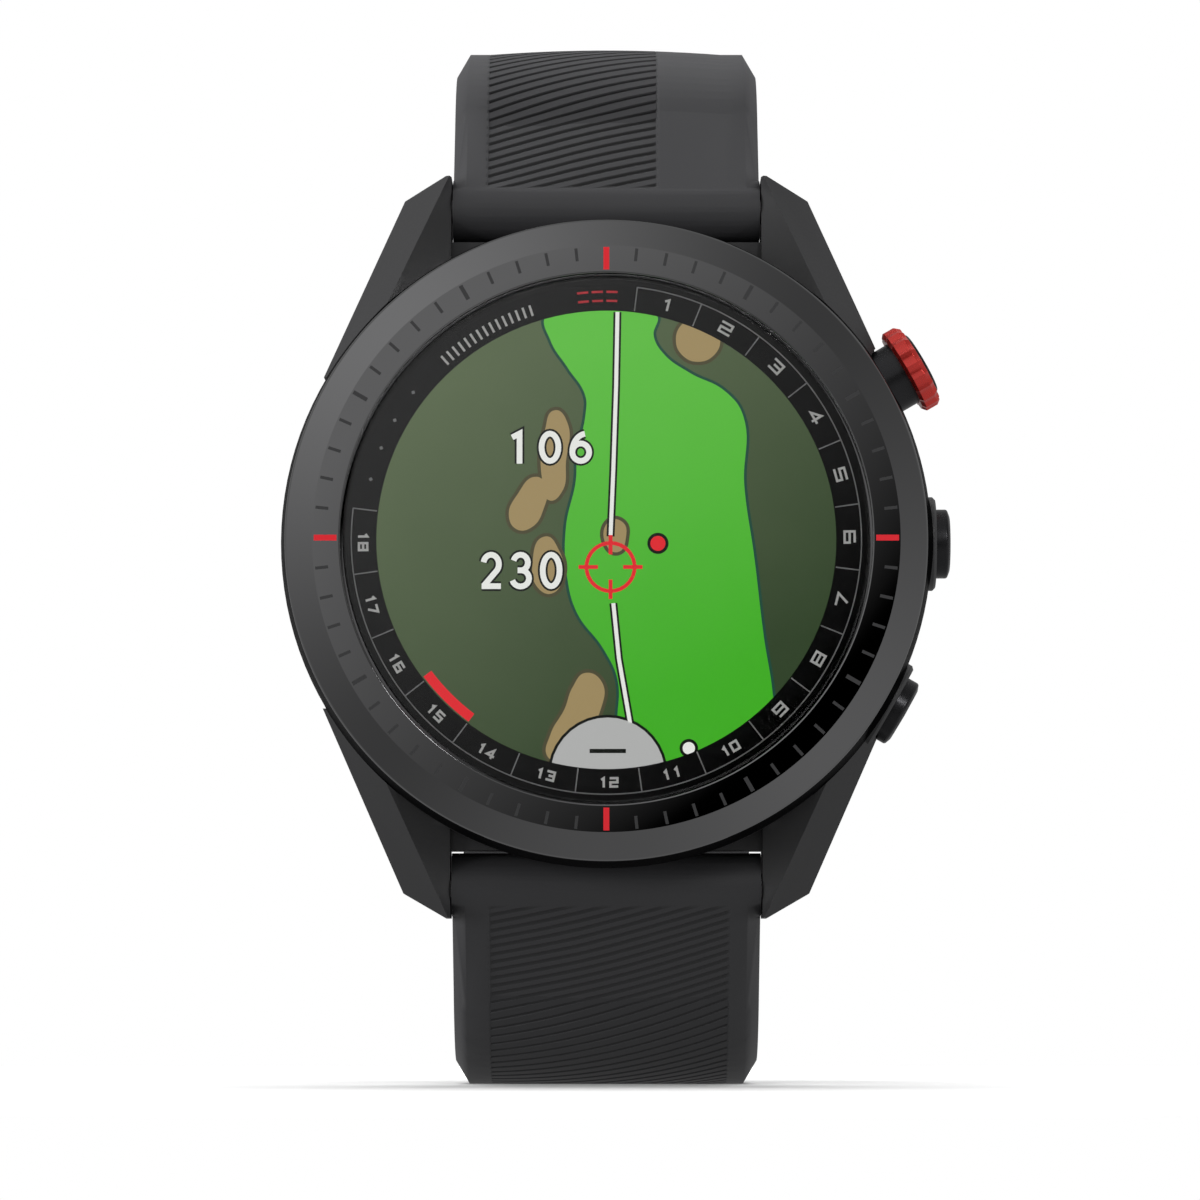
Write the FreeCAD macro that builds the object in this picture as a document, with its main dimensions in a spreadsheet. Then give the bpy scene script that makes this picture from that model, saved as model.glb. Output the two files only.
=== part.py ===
"""Golf GPS watch, modelled in millimetres as separate sub-parts.

Local "dial" axes: x towards 3 o'clock, z towards 12 o'clock, y from the bezel's
front plane (y = 0) towards the wrist. Every sub-part gets the same Placement
offset, which puts the row's origin at the bottom centre of the whole watch.
"""
import FreeCAD, Part
import Sketcher
import os

DOC = FreeCAD.newDocument("golf_gps_watch")
V = FreeCAD.Vector

# alias, value, meaning (lengths in mm, angles in degrees)
DIMENSIONS = [
    ("case_radius", 23.5, "outer radius of the round case wall"),
    ("bezel_radius", 23.1, "outer radius of the bezel"),
    ("bezel_flat_radius", 21.05, "outer radius of the bezel's flat front"),
    ("window_radius", 19.06, "inner radius of the bezel"),
    ("display_radius", 16.5, "radius of the lit display"),
    ("case_thickness", 11.6, "bezel front plane to the case's back plane"),
    ("bezel_depth", 2.4, "depth of the bezel ring"),
    ("case_wall", 3.5, "thickness of the round case wall"),
    ("strap_width", 22.4, "width of both strap halves"),
    ("strap_thickness", 2.6, "thickness of both strap halves"),
    ("bar_gap", 1.1, "round case wall to lug bar axis"),
    ("lug_reach", 2.4, "lug bar axis to lug tip"),
    ("bar_depth", 9.0, "lug bar axis behind the bezel plane"),
    ("bar_radius", 0.9, "radius of a lug bar"),
    ("rise_angle", 30.0, "lean of the straight strap root from vertical"),
    ("bend_radius", 10.5, "mid-line radius of the strap's tight bend"),
    ("bend_end", 75.0, "polar angle where the tight bend ends"),
    ("upper_rise", 8.14, "length of the upper strap's straight root"),
    ("upper_sweep", 45.0, "mid-line radius of the upper strap's long curve"),
    ("upper_end", 10.0, "polar angle of the upper strap's end"),
    ("lower_rise", 9.18, "length of the lower strap's straight root"),
    ("lower_sweep", 34.0, "mid-line radius of the lower strap's long curve"),
    ("lower_turn", -48.0, "polar angle where the tail's last curve starts"),
    ("tail_sweep", 38.0, "mid-line radius of the tail's last curve"),
    ("lower_end", -66.0, "polar angle of the tail's end"),
    ("button_depth", 6.0, "button axis behind the bezel plane"),
    ("button_travel", 0.6, "how far a button is pressed"),
    ("slot_gap", 0.1, "strap edge to lug"),
    ("running_gap", 0.08, "radial clearance of a turning or sliding shaft"),
    ("free_gap", 0.3, "clearance between the strap and its keepers"),
    ("dial_x", -0.7, "dial axis from the watch's middle, sideways"),
    ("dial_y", -30.8, "bezel front from the watch's middle, in depth"),
    ("strap_drop", 14.5, "lower lug bar axis above the lowest point of the strap"),
]

SHEET = DOC.addObject("Spreadsheet::Sheet", "dims")
for row, (alias, number, meaning) in enumerate(DIMENSIONS, start=1):
    SHEET.set(f"A{row}", str(number))
    SHEET.setAlias(f"A{row}", alias)
    SHEET.set(f"B{row}", meaning)
DOC.recompute()

PARTS = []
BACK = "dims.case_thickness"
ROOM = "(dims.case_radius - dims.case_wall)"
BOARD = f"{BACK} - 3.5"
BAR = "(dims.case_radius + dims.bar_gap)"
DIAL_PLACE = ("dims.dial_x", "dims.dial_y", f"{BAR} + dims.strap_drop")


# ---------------------------------------------------------------- helpers
def measure(expression):
    """The number that a dimension expression stands for."""
    return float(SHEET.evalExpression(str(expression)))


def finish_part(part, label, turn=0, axis=V(0, 1, 0)):
    """Name a sub-part and place it in the row's frame, turned about an axis if asked."""
    part.Label = label
    part.Placement.Rotation = FreeCAD.Rotation(axis, turn)
    for side, value in zip("xyz", DIAL_PLACE):
        part.setExpression(f"Placement.Base.{side}", value)
    PARTS.append(part)
    return part


def new_body(name):
    return DOC.addObject("PartDesign::Body", name)


def new_sketch(body, plane, base=("0", "0", "0"), turn="0", turn_axis=V(1, 0, 0)):
    """A sketch on one of the body's own planes, shifted and turned by expressions."""
    sketch = body.newObject("Sketcher::SketchObject", body.Name + "_sketch")
    origin = [f for f in body.Origin.OriginFeatures if f.Role == plane][0]
    sketch.AttachmentSupport = (origin, [""])
    sketch.MapMode = "FlatFace"
    start = V(*[measure(value) for value in base])
    sketch.AttachmentOffset = FreeCAD.Placement(start, FreeCAD.Rotation(turn_axis, measure(turn)))
    for side, value in zip("xyz", base):
        sketch.setExpression(f"AttachmentOffset.Base.{side}", value)
    if turn != "0":
        sketch.setExpression("AttachmentOffset.Rotation.Angle", turn)
    return sketch


def hold_point(sketch, edge, end, point):
    """Tie one end of a sketch edge to a pair of expressions."""
    for kind, value in zip(("DistanceX", "DistanceY"), point):
        number = sketch.addConstraint(Sketcher.Constraint(kind, edge, end, measure(value)))
        sketch.setExpression(f"Constraints[{number}]", str(value))


def draw_outline(sketch, points, bulges=None):
    """A closed outline through points. bulges: edge number -> (radius, a point half way) of an arc."""
    bulges = bulges or {}
    spots = [V(measure(a), measure(b), 0) for a, b in points]
    first = sketch.GeometryCount
    count = len(points)
    ends = []
    for edge in range(count):
        start, end = spots[edge], spots[(edge + 1) % count]
        forwards = True
        shape = Part.LineSegment(start, end)
        if edge in bulges:
            through = V(measure(bulges[edge][1][0]), measure(bulges[edge][1][1]), 0)
            forwards = (through - start).cross(end - start).z > 0
            shape = Part.Arc(start, through, end) if forwards else Part.Arc(end, through, start)
        sketch.addGeometry(shape, False)
        ends.append((1, 2) if forwards else (2, 1))
    for edge in range(count):
        after = (edge + 1) % count
        joined = Sketcher.Constraint("Coincident", first + edge, ends[edge][1], first + after, ends[after][0])
        sketch.addConstraint(joined)
        hold_point(sketch, first + edge, ends[edge][0], points[edge])
        if edge in bulges:
            radius = bulges[edge][0]
            number = sketch.addConstraint(Sketcher.Constraint("Radius", first + edge, measure(radius)))
            sketch.setExpression(f"Constraints[{number}]", str(radius))


def draw_box(sketch, left, right, low, high):
    draw_outline(sketch, [(left, low), (right, low), (right, high), (left, high)])


def draw_circle(sketch, across, up, radius):
    centre = V(measure(across), measure(up), 0)
    edge = sketch.addGeometry(Part.Circle(centre, V(0, 0, 1), measure(radius)), False)
    hold_point(sketch, edge, 3, (across, up))
    number = sketch.addConstraint(Sketcher.Constraint("Radius", edge, measure(radius)))
    sketch.setExpression(f"Constraints[{number}]", str(radius))


def extrude(body, sketch, length, cut=False, both=False, reverse=False):
    kind = "PartDesign::Pocket" if cut else "PartDesign::Pad"
    feature = body.newObject(kind, body.Name + ("_cut" if cut else "_pad"))
    feature.Profile = sketch
    feature.setExpression("Length", length)
    feature.Midplane = both
    feature.Reversed = reverse
    body.Tip = feature
    return feature


def spin(body, sketch, axis="V_Axis", angle="360", cut=False, both=False):
    kind = "PartDesign::Groove" if cut else "PartDesign::Revolution"
    feature = body.newObject(kind, body.Name + "_turned")
    feature.Profile = sketch
    feature.ReferenceAxis = (sketch, [axis])
    feature.setExpression("Angle", angle)
    feature.Midplane = both
    body.Tip = feature
    return feature


def turned(name, points):
    """A ring or disc about the dial axis: points are (radius, depth) expressions."""
    body = new_body(name)
    sketch = new_sketch(body, "XY_Plane")
    draw_outline(sketch, points)
    spin(body, sketch)
    return body


def ring(name, inner, outer, front, back):
    return turned(name, [(inner, front), (outer, front), (outer, back), (inner, back)])


def slab(name, front, depth, outlines=(), circles=()):
    """Flat pieces parallel to the dial, from the depth called front backwards."""
    body = new_body(name)
    sketch = new_sketch(body, "XZ_Plane", ("0", "0", f"-({front})"))
    for points in outlines:
        draw_outline(sketch, points)
    for across, up, radius in circles:
        draw_circle(sketch, across, up, radius)
    extrude(body, sketch, depth, reverse=True)
    return body


def cut_slab(body, front, depth, outlines=(), circles=()):
    """Cut flat shapes backwards into a body, starting at the depth called front."""
    sketch = new_sketch(body, "XZ_Plane", ("0", "0", f"-({front})"))
    for points in outlines:
        draw_outline(sketch, points)
    for across, up, radius in circles:
        draw_circle(sketch, across, up, radius)
    return extrude(body, sketch, depth, cut=True)


def rectangle(left, right, low, high):
    return [(left, low), (right, low), (right, high), (left, high)]


# ---------------------------------------------------------------- the case module
BUTTON_TURNS = {"start": -30, "middle": 0, "lower": 30}


def make_case():
    """Round case wall with four faceted lugs, bar holes and three button holes."""
    body = new_body("case")
    sketch = new_sketch(body, "XY_Plane")
    draw_outline(sketch, [
        ("dims.window_radius - 0.46", "dims.bezel_depth"),
        ("dims.case_radius - 0.42", "dims.bezel_depth"),
        ("dims.case_radius", "dims.bezel_depth + 2"),
        ("dims.case_radius", f"{BACK} - 1.4"),
        ("dims.case_radius - 1.2", BACK),
        (f"{ROOM} + 1.1", BACK),
        (f"{ROOM} + 1.1", f"{BACK} - 0.8"),
        (f"{ROOM}", f"{BACK} - 0.8"),
        (f"{ROOM}", "dims.bezel_depth + 1"),
        ("dims.window_radius - 0.46", "dims.bezel_depth + 1"),
    ])
    spin(body, sketch)
    for across in (1, -1):
        for up in (1, -1):
            add_lug(body, across, up)
    add_lug_bridges(body)
    cut_cavity(body)
    cut_lug_tips(body)
    cut_strap_seats(body)
    for turn in (BUTTON_TURNS["middle"], BUTTON_TURNS["lower"]):
        add_button_guard(body, turn)
    cut_gasket_grooves(body)
    for turn in BUTTON_TURNS.values():
        cut_button_hole(body, turn)
    return finish_part(body, "case")


def add_lug(body, across, up):
    """One lug, lofted from its root section to its tip section."""
    slot = "(dims.strap_width / 2 + dims.slot_gap)"
    tip = f"({BAR} + dims.lug_reach)"
    root_section = [
        (f"{across} * {slot}", "4.4"),
        (f"{across} * (dims.case_radius - 5.2)", "2.7"),
        (f"{across} * (dims.case_radius - 3.05)", "4.6"),
        (f"{across} * (dims.case_radius - 3.05)", f"{BACK} - 0.6"),
        (f"{across} * {slot}", f"{BACK} - 0.6"),
    ]
    tip_section = [
        (f"{across} * {slot}", "7.3"),
        (f"{across} * ({slot} + 0.15)", "6.6"),
        (f"{across} * ({slot} + 2.65)", "8.2"),
        (f"{across} * ({slot} + 2.65)", f"{BACK} + 0.6"),
        (f"{across} * {slot}", f"{BACK} + 0.6"),
    ]
    root = new_sketch(body, "XY_Plane", ("0", "0", f"{up} * 12"))
    draw_outline(root, root_section)
    end = new_sketch(body, "XY_Plane", ("0", "0", f"{up} * {tip}"))
    draw_outline(end, tip_section)
    loft = body.newObject("PartDesign::AdditiveLoft", "lug")
    loft.Profile = root
    loft.Sections = [end]
    loft.Ruled = True
    body.Tip = loft


def add_lug_bridges(body):
    """Fill the corners between the round wall and each pair of lugs up to a flat seat."""
    slot = "(dims.strap_width / 2 + dims.slot_gap + 0.3)"
    bridges = []
    for up in (1, -1):
        bridges.append([
            (f"-{slot}", f"{up} * 16"), (slot, f"{up} * 16"),
            (slot, f"{up} * ({BAR} - 2.45)"), (f"-{slot}", f"{up} * ({BAR} - 2.45)"),
        ])
    sketch = new_sketch(body, "XZ_Plane", ("0", "0", "-7"))
    for points in bridges:
        draw_outline(sketch, points)
    extrude(body, sketch, f"{BACK} - 7.6", reverse=True)


def cut_cavity(body):
    """Clear the lug roots out of the room inside the case and off the back cover's seat."""
    sketch = new_sketch(body, "XY_Plane")
    draw_outline(sketch, [
        ("0", "dims.bezel_depth - 0.1"),
        ("dims.window_radius - 0.46", "dims.bezel_depth - 0.1"),
        ("dims.window_radius - 0.46", "dims.bezel_depth + 1"),
        (f"{ROOM}", "dims.bezel_depth + 1"),
        (f"{ROOM}", f"{BACK} - 0.8"),
        (f"{ROOM} + 1.1", f"{BACK} - 0.8"),
        (f"{ROOM} + 1.1", f"{BACK} + 3"),
        ("0", f"{BACK} + 3"),
    ])
    spin(body, sketch, cut=True)


def cut_lug_tips(body):
    """Slant the outer corner of every lug tip and open the bar holes."""
    slot = "(dims.strap_width / 2 + dims.slot_gap)"
    tip = f"({BAR} + dims.lug_reach)"
    corners = []
    for across in (1, -1):
        for up in (1, -1):
            corners.append([
                (f"{across} * ({slot} + 0.3)", f"{up} * ({tip} + 0.05)"),
                (f"{across} * ({slot} + 4.1)", f"{up} * ({tip} - 2.15)"),
                (f"{across} * ({slot} + 4.1)", f"{up} * ({tip} + 0.05)"),
            ])
    cut_slab(body, "0", "20", outlines=corners)
    holes = new_sketch(body, "YZ_Plane")
    for up in (1, -1):
        draw_circle(holes, "dims.bar_depth", f"{up} * {BAR}", "dims.bar_radius")
    extrude(body, holes, "40", cut=True, both=True)


def cut_strap_seats(body):
    """Flatten the case wall between each pair of lugs, where the strap end turns."""
    slot = "(dims.strap_width / 2 + dims.slot_gap)"
    seats = []
    for up in (1, -1):
        seats.append([
            (f"-{slot}", f"{up} * ({BAR} - 2.45)"),
            (slot, f"{up} * ({BAR} - 2.45)"),
            (slot, f"{up} * (dims.case_radius + 1)"),
            (f"-{slot}", f"{up} * (dims.case_radius + 1)"),
        ])
    cut_slab(body, "4.6", "12", outlines=seats)


def cut_gasket_grooves(body):
    front = new_sketch(body, "XY_Plane")
    draw_box(front, "20.3", "21.1", "dims.bezel_depth - 0.1", "dims.bezel_depth + 0.3")
    spin(body, front, cut=True)


def radial_sketch(body, turn):
    """A sketch whose x runs out along a button's axis, at the buttons' depth."""
    return new_sketch(body, "XY_Plane", ("0", "dims.button_depth", "0"), str(turn), V(0, 1, 0))


def add_button_guard(body, turn):
    """Raised collar round a black button."""
    sketch = radial_sketch(body, turn)
    draw_outline(sketch, [
        ("dims.case_radius - 1.2", "0"), ("dims.case_radius + 0.3", "0"), ("dims.case_radius + 0.3", "3.2"),
        ("dims.case_radius + 0.1", "3.4"), ("dims.case_radius - 1.2", "3.4"),
    ])
    spin(body, sketch, axis="H_Axis")


def cut_button_hole(body, turn):
    sketch = radial_sketch(body, turn)
    wide = "2.65"
    draw_outline(sketch, [
        (f"{ROOM} - 1.5", "0"),
        (f"{ROOM} - 1.5", "1.5"),
        ("dims.case_radius - 1.2", "1.5"),
        ("dims.case_radius - 1.2", wide),
        ("dims.case_radius + 1.5", wide),
        ("dims.case_radius + 1.5", "0"),
    ])
    spin(body, sketch, axis="H_Axis", cut=True)


def make_bezel():
    body = turned("bezel", [
        ("dims.window_radius", "0"),
        ("dims.bezel_flat_radius", "0"),
        ("dims.bezel_radius", "1.2"),
        ("dims.bezel_radius", "dims.bezel_depth"),
        ("dims.window_radius - 0.56", "dims.bezel_depth"),
        ("dims.window_radius - 0.56", "1.95"),
        ("dims.window_radius", "1.95"),
    ])
    groove = new_sketch(body, "XY_Plane")
    draw_box(groove, "20.3", "21.1", "dims.bezel_depth - 0.3", "dims.bezel_depth + 0.1")
    spin(body, groove, cut=True)
    return finish_part(body, "bezel")


def make_bezel_gasket():
    body = ring("bezel_gasket", "20.3", "21.1", "dims.bezel_depth - 0.3", "dims.bezel_depth + 0.3")
    return finish_part(body, "bezel_gasket")


def make_lens():
    edge = "dims.window_radius - 0.16"
    body = turned("lens", [
        ("0", "0.25"), (f"{edge} - 0.45", "0.25"), (edge, "0.6"), (edge, "1.85"), ("0", "1.85"),
    ])
    return finish_part(body, "lens")


def make_lens_stack():
    """The adhesive ring, printed ring, display panel and its tray, front to back."""
    edge = "dims.window_radius - 0.16"
    finish_part(ring("lens_adhesive", "dims.window_radius - 0.56", edge, "1.85", "1.95"), "lens_adhesive")
    finish_part(ring("number_ring", "dims.display_radius", "dims.window_radius - 0.66", "1.85", "2.0"),
                "number_ring")
    panel = turned("display_panel", [
        ("0", "2.0"), ("dims.display_radius + 1", "2.0"), ("dims.display_radius + 1", "3.1"), ("0", "3.1"),
    ])
    finish_part(panel, "display_panel")
    tray = turned("display_tray", [
        ("dims.display_radius + 1.1", "2.3"), ("dims.display_radius + 1.7", "2.3"),
        ("dims.display_radius + 1.7", "3.7"), ("0", "3.7"), ("0", "3.1"),
        ("dims.display_radius + 1.1", "3.1"),
    ])
    cut_slab(tray, "3", "1", outlines=[
        rectangle("-5", "5", "-(dims.display_radius + 0.1)", "1.1 - dims.display_radius")])
    finish_part(tray, "display_tray")


def make_display_flex():
    """Ribbon that folds from the back of the display down to the main board."""
    edge = "dims.display_radius"
    body = new_body("display_flex")
    sketch = new_sketch(body, "YZ_Plane")
    draw_outline(sketch, [
        ("3.1", f"0.1 - {edge}"), (f"{BOARD} + 0.5", f"0.1 - {edge}"),
        (f"{BOARD} + 0.5", f"2.05 - {edge}"), (f"{BOARD} + 0.35", f"2.05 - {edge}"),
        (f"{BOARD} + 0.35", f"0.25 - {edge}"), ("3.25", f"0.25 - {edge}"),
        ("3.25", f"0.9 - {edge}"), ("3.1", f"0.9 - {edge}"),
    ])
    extrude(body, sketch, "8", both=True)
    return finish_part(body, "display_flex")


def make_battery():
    cell = rectangle("-14.8", "9.6", "-11.2", "11.2")
    body = slab("battery", "4.0", f"{BACK} - 8.2", outlines=[cell])
    DOC.recompute()
    corners = [f"Edge{number}" for number, edge in enumerate(body.Tip.Shape.Edges, start=1)
               if edge.BoundBox.XLength < 0.1 and edge.BoundBox.ZLength < 0.1]
    block = body.Tip
    rounded = body.newObject("PartDesign::Fillet", "battery_corners")
    rounded.Base = (block, corners)
    rounded.Radius = 1.6
    body.Tip = rounded
    finish_part(body, "battery")
    pad = slab("battery_tape", "3.7", "0.3", outlines=[rectangle("-12", "6", "-9", "9")])
    finish_part(pad, "battery_tape")


def make_chassis():
    """Moulded inner frame between the battery and the main board."""
    body = turned("chassis", [
        ("0", f"{BOARD} - 0.6"), (f"{ROOM} - 0.5", f"{BOARD} - 0.6"), (f"{ROOM} - 0.5", BOARD), ("0", BOARD),
    ])
    slot = rectangle("-6", "6", "-(dims.display_radius + 0.7)", "3.5 - dims.display_radius")
    cut_slab(body, f"{BOARD} - 1.1", "2", outlines=[slot], circles=[("-12", "8", "3.4"), ("13.5", "12", "2")])
    return finish_part(body, "chassis")


SCREW_ANGLES = (20, 155, 245)
COVER_SCREW_ANGLES = (45, 135, 225, 315)


def on_circle(distance, angles, radius):
    """Equal circles at the given angles about the dial axis."""
    return [(f"{distance} * cos({angle})", f"{distance} * sin({angle})", radius) for angle in angles]


def make_boards():
    face = f"{BOARD} + 0.8"
    board = turned("main_board", [("0", BOARD), (f"{ROOM} - 1.4", BOARD), (f"{ROOM} - 1.4", face), ("0", face)])
    slot = rectangle("-5", "5", "-(dims.display_radius + 2.7)", "2.1 - dims.display_radius")
    cut_slab(board, f"{BOARD} - 0.2", "2", outlines=[slot])
    cut_slab(board, f"{BOARD} - 0.2", "2", circles=on_circle(f"({ROOM} - 3.4)", SCREW_ANGLES, "0.55"))
    finish_part(board, "main_board")
    shield = slab("shield_can", face, "1.3", outlines=[rectangle("-12", "2", "-3", "11")])
    finish_part(shield, "shield_can")
    chip = slab("gps_module", face, "1.1", outlines=[rectangle("4", "13", "1.5", "10.5")])
    finish_part(chip, "gps_module")
    memory = slab("memory_chip", face, "0.9", outlines=[rectangle("-12", "-5", "-12", "-6")])
    finish_part(memory, "memory_chip")
    screws = slab("board_screws", face, "0.5", circles=on_circle(f"({ROOM} - 3.4)", SCREW_ANGLES, "1.0"))
    finish_part(screws, "board_screws")
    motor = slab("vibration_motor", face, "1.6", circles=[("9", "-8.5", "4")])
    finish_part(motor, "vibration_motor")
    buzzer = slab("buzzer", "4.2", "0.6", circles=[("-4", f"6 - {ROOM}", "2.2")])
    return finish_part(buzzer, "buzzer")


def make_antenna():
    """Receiver antenna, an arc of metal under the bezel at the upper left."""
    body = new_body("gps_antenna")
    sketch = new_sketch(body, "XY_Plane")
    draw_box(sketch, f"{ROOM} - 1.3", f"{ROOM} - 0.5", "3.9", f"{BOARD} - 1.2")
    spin(body, sketch, angle="100", both=True)
    return finish_part(body, "gps_antenna", turn=-135)


def make_button_board():
    """Curved flexible board with a dome switch behind each button."""
    board = new_body("button_board")
    sketch = new_sketch(board, "XY_Plane")
    draw_box(sketch, f"{ROOM} - 3.1", f"{ROOM} - 2.8", "dims.button_depth - 2", f"{BOARD} - 0.7")
    spin(board, sketch, angle="84", both=True)
    finish_part(board, "button_board")
    switches = new_body("button_switches")
    for turn in BUTTON_TURNS.values():
        outline = radial_sketch(switches, turn)
        draw_outline(outline, [
            (f"{ROOM} - 2.8", "0"), (f"{ROOM} - 2.8", "1.35"), (f"{ROOM} - 2.1", "1.35"),
            (f"{ROOM} - 2.1", "0.9"), (f"{ROOM} - 1.75", "0.7"), (f"{ROOM} - 1.75", "0"),
        ])
        spin(switches, outline, axis="H_Axis")
    return finish_part(switches, "button_switches")


def make_button_barrels():
    """A bushing pressed into the case wall for each button stem."""
    body = new_body("button_barrels")
    for turn in BUTTON_TURNS.values():
        sketch = radial_sketch(body, turn)
        draw_box(sketch, f"{ROOM} - 0.2", "dims.case_radius - 1.2",
                 "0.9 + dims.running_gap", "1.5")
        spin(body, sketch, axis="H_Axis")
    return finish_part(body, "button_barrels")


def button_piece(name, turn, points):
    """A turned button piece: points are (distance along the button axis, radius)."""
    body = new_body(name)
    sketch = new_sketch(body, "XY_Plane", ("0", "dims.button_depth", "0"))
    draw_outline(sketch, points)
    spin(body, sketch, axis="H_Axis")
    return finish_part(body, name, turn=turn)


def make_stem_fittings(name, turn):
    """Seal and clip that ride on a button stem inside the barrel and the case."""
    inside = f"{ROOM} - 0.9"
    button_piece(f"{name}_clip", turn, [(inside, "0.6"), (f"{inside} + 0.4", "0.6"),
                                        (f"{inside} + 0.4", "1.4"), (inside, "1.4")])
    seal = f"{ROOM} + 1.2"
    button_piece(f"{name}_seal", turn, [(seal, "0.62"), (f"{seal} + 0.5", "0.62"),
                                        (f"{seal} + 0.5", "0.95"), (seal, "0.95")])


def stem_outline(head):
    """Stem from its inner end, past the clip groove and seal groove, to the head's points."""
    clip = f"{ROOM} - 0.9"
    seal = f"{ROOM} + 1.2"
    return [
        (f"{clip} - 0.05", "0"), (f"{clip} - 0.05", "0.9"), (clip, "0.9"), (clip, "0.6"),
        (f"{clip} + 0.4", "0.6"), (f"{clip} + 0.4", "0.9"), (seal, "0.9"), (seal, "0.62"),
        (f"{seal} + 0.5", "0.62"), (f"{seal} + 0.5", "0.9"),
    ] + head


def make_start_button():
    """Red knurled ring on a black core, at 2 o'clock."""
    turn = BUTTON_TURNS["start"]
    out = "dims.case_radius"
    button_piece("start_core", turn, stem_outline([
        (f"{out} - 0.5", "0.9"), (f"{out} - 0.5", "2.42"), (f"{out} + 2.75", "2.42"),
        (f"{out} + 3.05", "2.15"), (f"{out} + 3.05", "0"),
    ]))
    button_piece("start_ring", turn, [
        (f"{out} + 1.3", "2.42"), (f"{out} + 1.3", "2.9"), (f"{out} + 1.5", "3.25"),
        (f"{out} + 2.45", "3.25"), (f"{out} + 2.75", "2.95"), (f"{out} + 2.75", "2.42"),
    ])
    make_stem_fittings("start", turn)


def make_black_button(name):
    """Domed black cap on a steel stem, at 3 or 4 o'clock."""
    turn = BUTTON_TURNS[name]
    out = "dims.case_radius"
    button_piece(f"{name}_stem", turn, stem_outline([(f"{out} + 0.6", "0.9"), (f"{out} + 0.6", "0")]))
    button_piece(f"{name}_cap", turn, [
        (f"{out} - 0.4", "0.9"), (f"{out} - 0.4", "2.5"), (f"{out} + 1.1", "2.5"),
        (f"{out} + 1.3", "2.2"), (f"{out} + 1.37", "1.2"), (f"{out} + 1.4", "0"),
        (f"{out} + 0.6", "0"), (f"{out} + 0.6", "0.9"),
    ])
    make_stem_fittings(name, turn)


def make_back_cover():
    """Screwed back with a raised sensor bump and a recess for the charging plug."""
    body = turned("back_cover", [
        ("0", f"{BACK} - 0.8"), (f"{ROOM} + 1.0", f"{BACK} - 0.8"),
        (f"{ROOM} + 1.0", f"{BACK} + 0.3"), (f"{ROOM} + 0.2", f"{BACK} + 1.1"),
        ("15.6", f"{BACK} + 1.5"), ("13.2", f"{BACK} + 2.6"),
        ("9.9", f"{BACK} + 2.6"), ("9.9", f"{BACK} + 1.4"), ("9.0", f"{BACK} + 1.4"),
        ("9.0", f"{BACK} + 0.4"), ("0", f"{BACK} + 0.4"),
    ])
    cut_slab(body, f"{BACK} + 0.5", "3", outlines=[rectangle("-5.2", "5.2", f"1.6 - {ROOM}", f"6 - {ROOM}")])
    cut_slab(body, f"{BACK} + 0.5", "3", circles=on_circle(f"({ROOM} - 1.7)", COVER_SCREW_ANGLES, "1.3"))
    groove = new_sketch(body, "XY_Plane")
    draw_box(groove, f"{ROOM} + 0.2", f"{ROOM} + 0.8", f"{BACK} - 0.9", f"{BACK} - 0.5")
    spin(body, groove, cut=True)
    finish_part(body, "back_cover")
    gasket = ring("back_gasket", f"{ROOM} + 0.2", f"{ROOM} + 0.8",
                  f"{BACK} - 0.8", f"{BACK} - 0.5")
    finish_part(gasket, "back_gasket")
    screws = slab("back_screws", f"{BACK} + 0.5", "0.6",
                  circles=on_circle(f"({ROOM} - 1.7)", COVER_SCREW_ANGLES, "1.15"))
    finish_part(screws, "back_screws")


def make_sensor():
    """Optical sensor: board, lights and photodiode under a flat-topped window."""
    window = turned("sensor_window", [
        ("0", f"{BACK} + 1.6"), ("9.0", f"{BACK} + 1.6"), ("9.0", f"{BACK} + 1.4"),
        ("9.9", f"{BACK} + 1.4"), ("9.9", f"{BACK} + 2.7"), ("8.0", f"{BACK} + 3.2"),
        ("0", f"{BACK} + 3.2"),
    ])
    finish_part(window, "sensor_window")
    board = turned("sensor_board", [("0", f"{BACK} + 0.4"), ("8.2", f"{BACK} + 0.4"),
                                    ("8.2", f"{BACK} + 0.9"), ("0", f"{BACK} + 0.9")])
    finish_part(board, "sensor_board")
    lights = slab("sensor_lights", f"{BACK} + 0.9", "0.5", outlines=[
        rectangle("-1.4", "1.4", "-1.4", "1.4"), rectangle("-6", "-4.4", "-0.8", "0.8"),
        rectangle("4.4", "6", "-0.8", "0.8")])
    finish_part(lights, "sensor_lights")
    plug = slab("charge_insulator", f"{BACK} + 0.5", "0.4",
                outlines=[rectangle("-5.0", "5.0", f"1.8 - {ROOM}", f"5.8 - {ROOM}")])
    finish_part(plug, "charge_insulator")
    pads = slab("charge_contacts", f"{BACK} + 0.9", "0.3", circles=[
        (f"{across}", f"3.8 - {ROOM}", "0.65") for across in (-3.3, -1.1, 1.1, 3.3)])
    return finish_part(pads, "charge_contacts")


def make_lug_bars():
    """Headed bars across both lug slots; the strap hooks turn on them."""
    body = new_body("lug_bars")
    sketch = new_sketch(body, "YZ_Plane")
    for up in (1, -1):
        draw_circle(sketch, "dims.bar_depth", f"{up} * {BAR}", "dims.bar_radius")
    extrude(body, sketch, "dims.strap_width + 4.4", both=True)
    return finish_part(body, "lug_bars")


# ---------------------------------------------------------------- the strap
EYE_RADIUS = "2.3"


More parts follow.
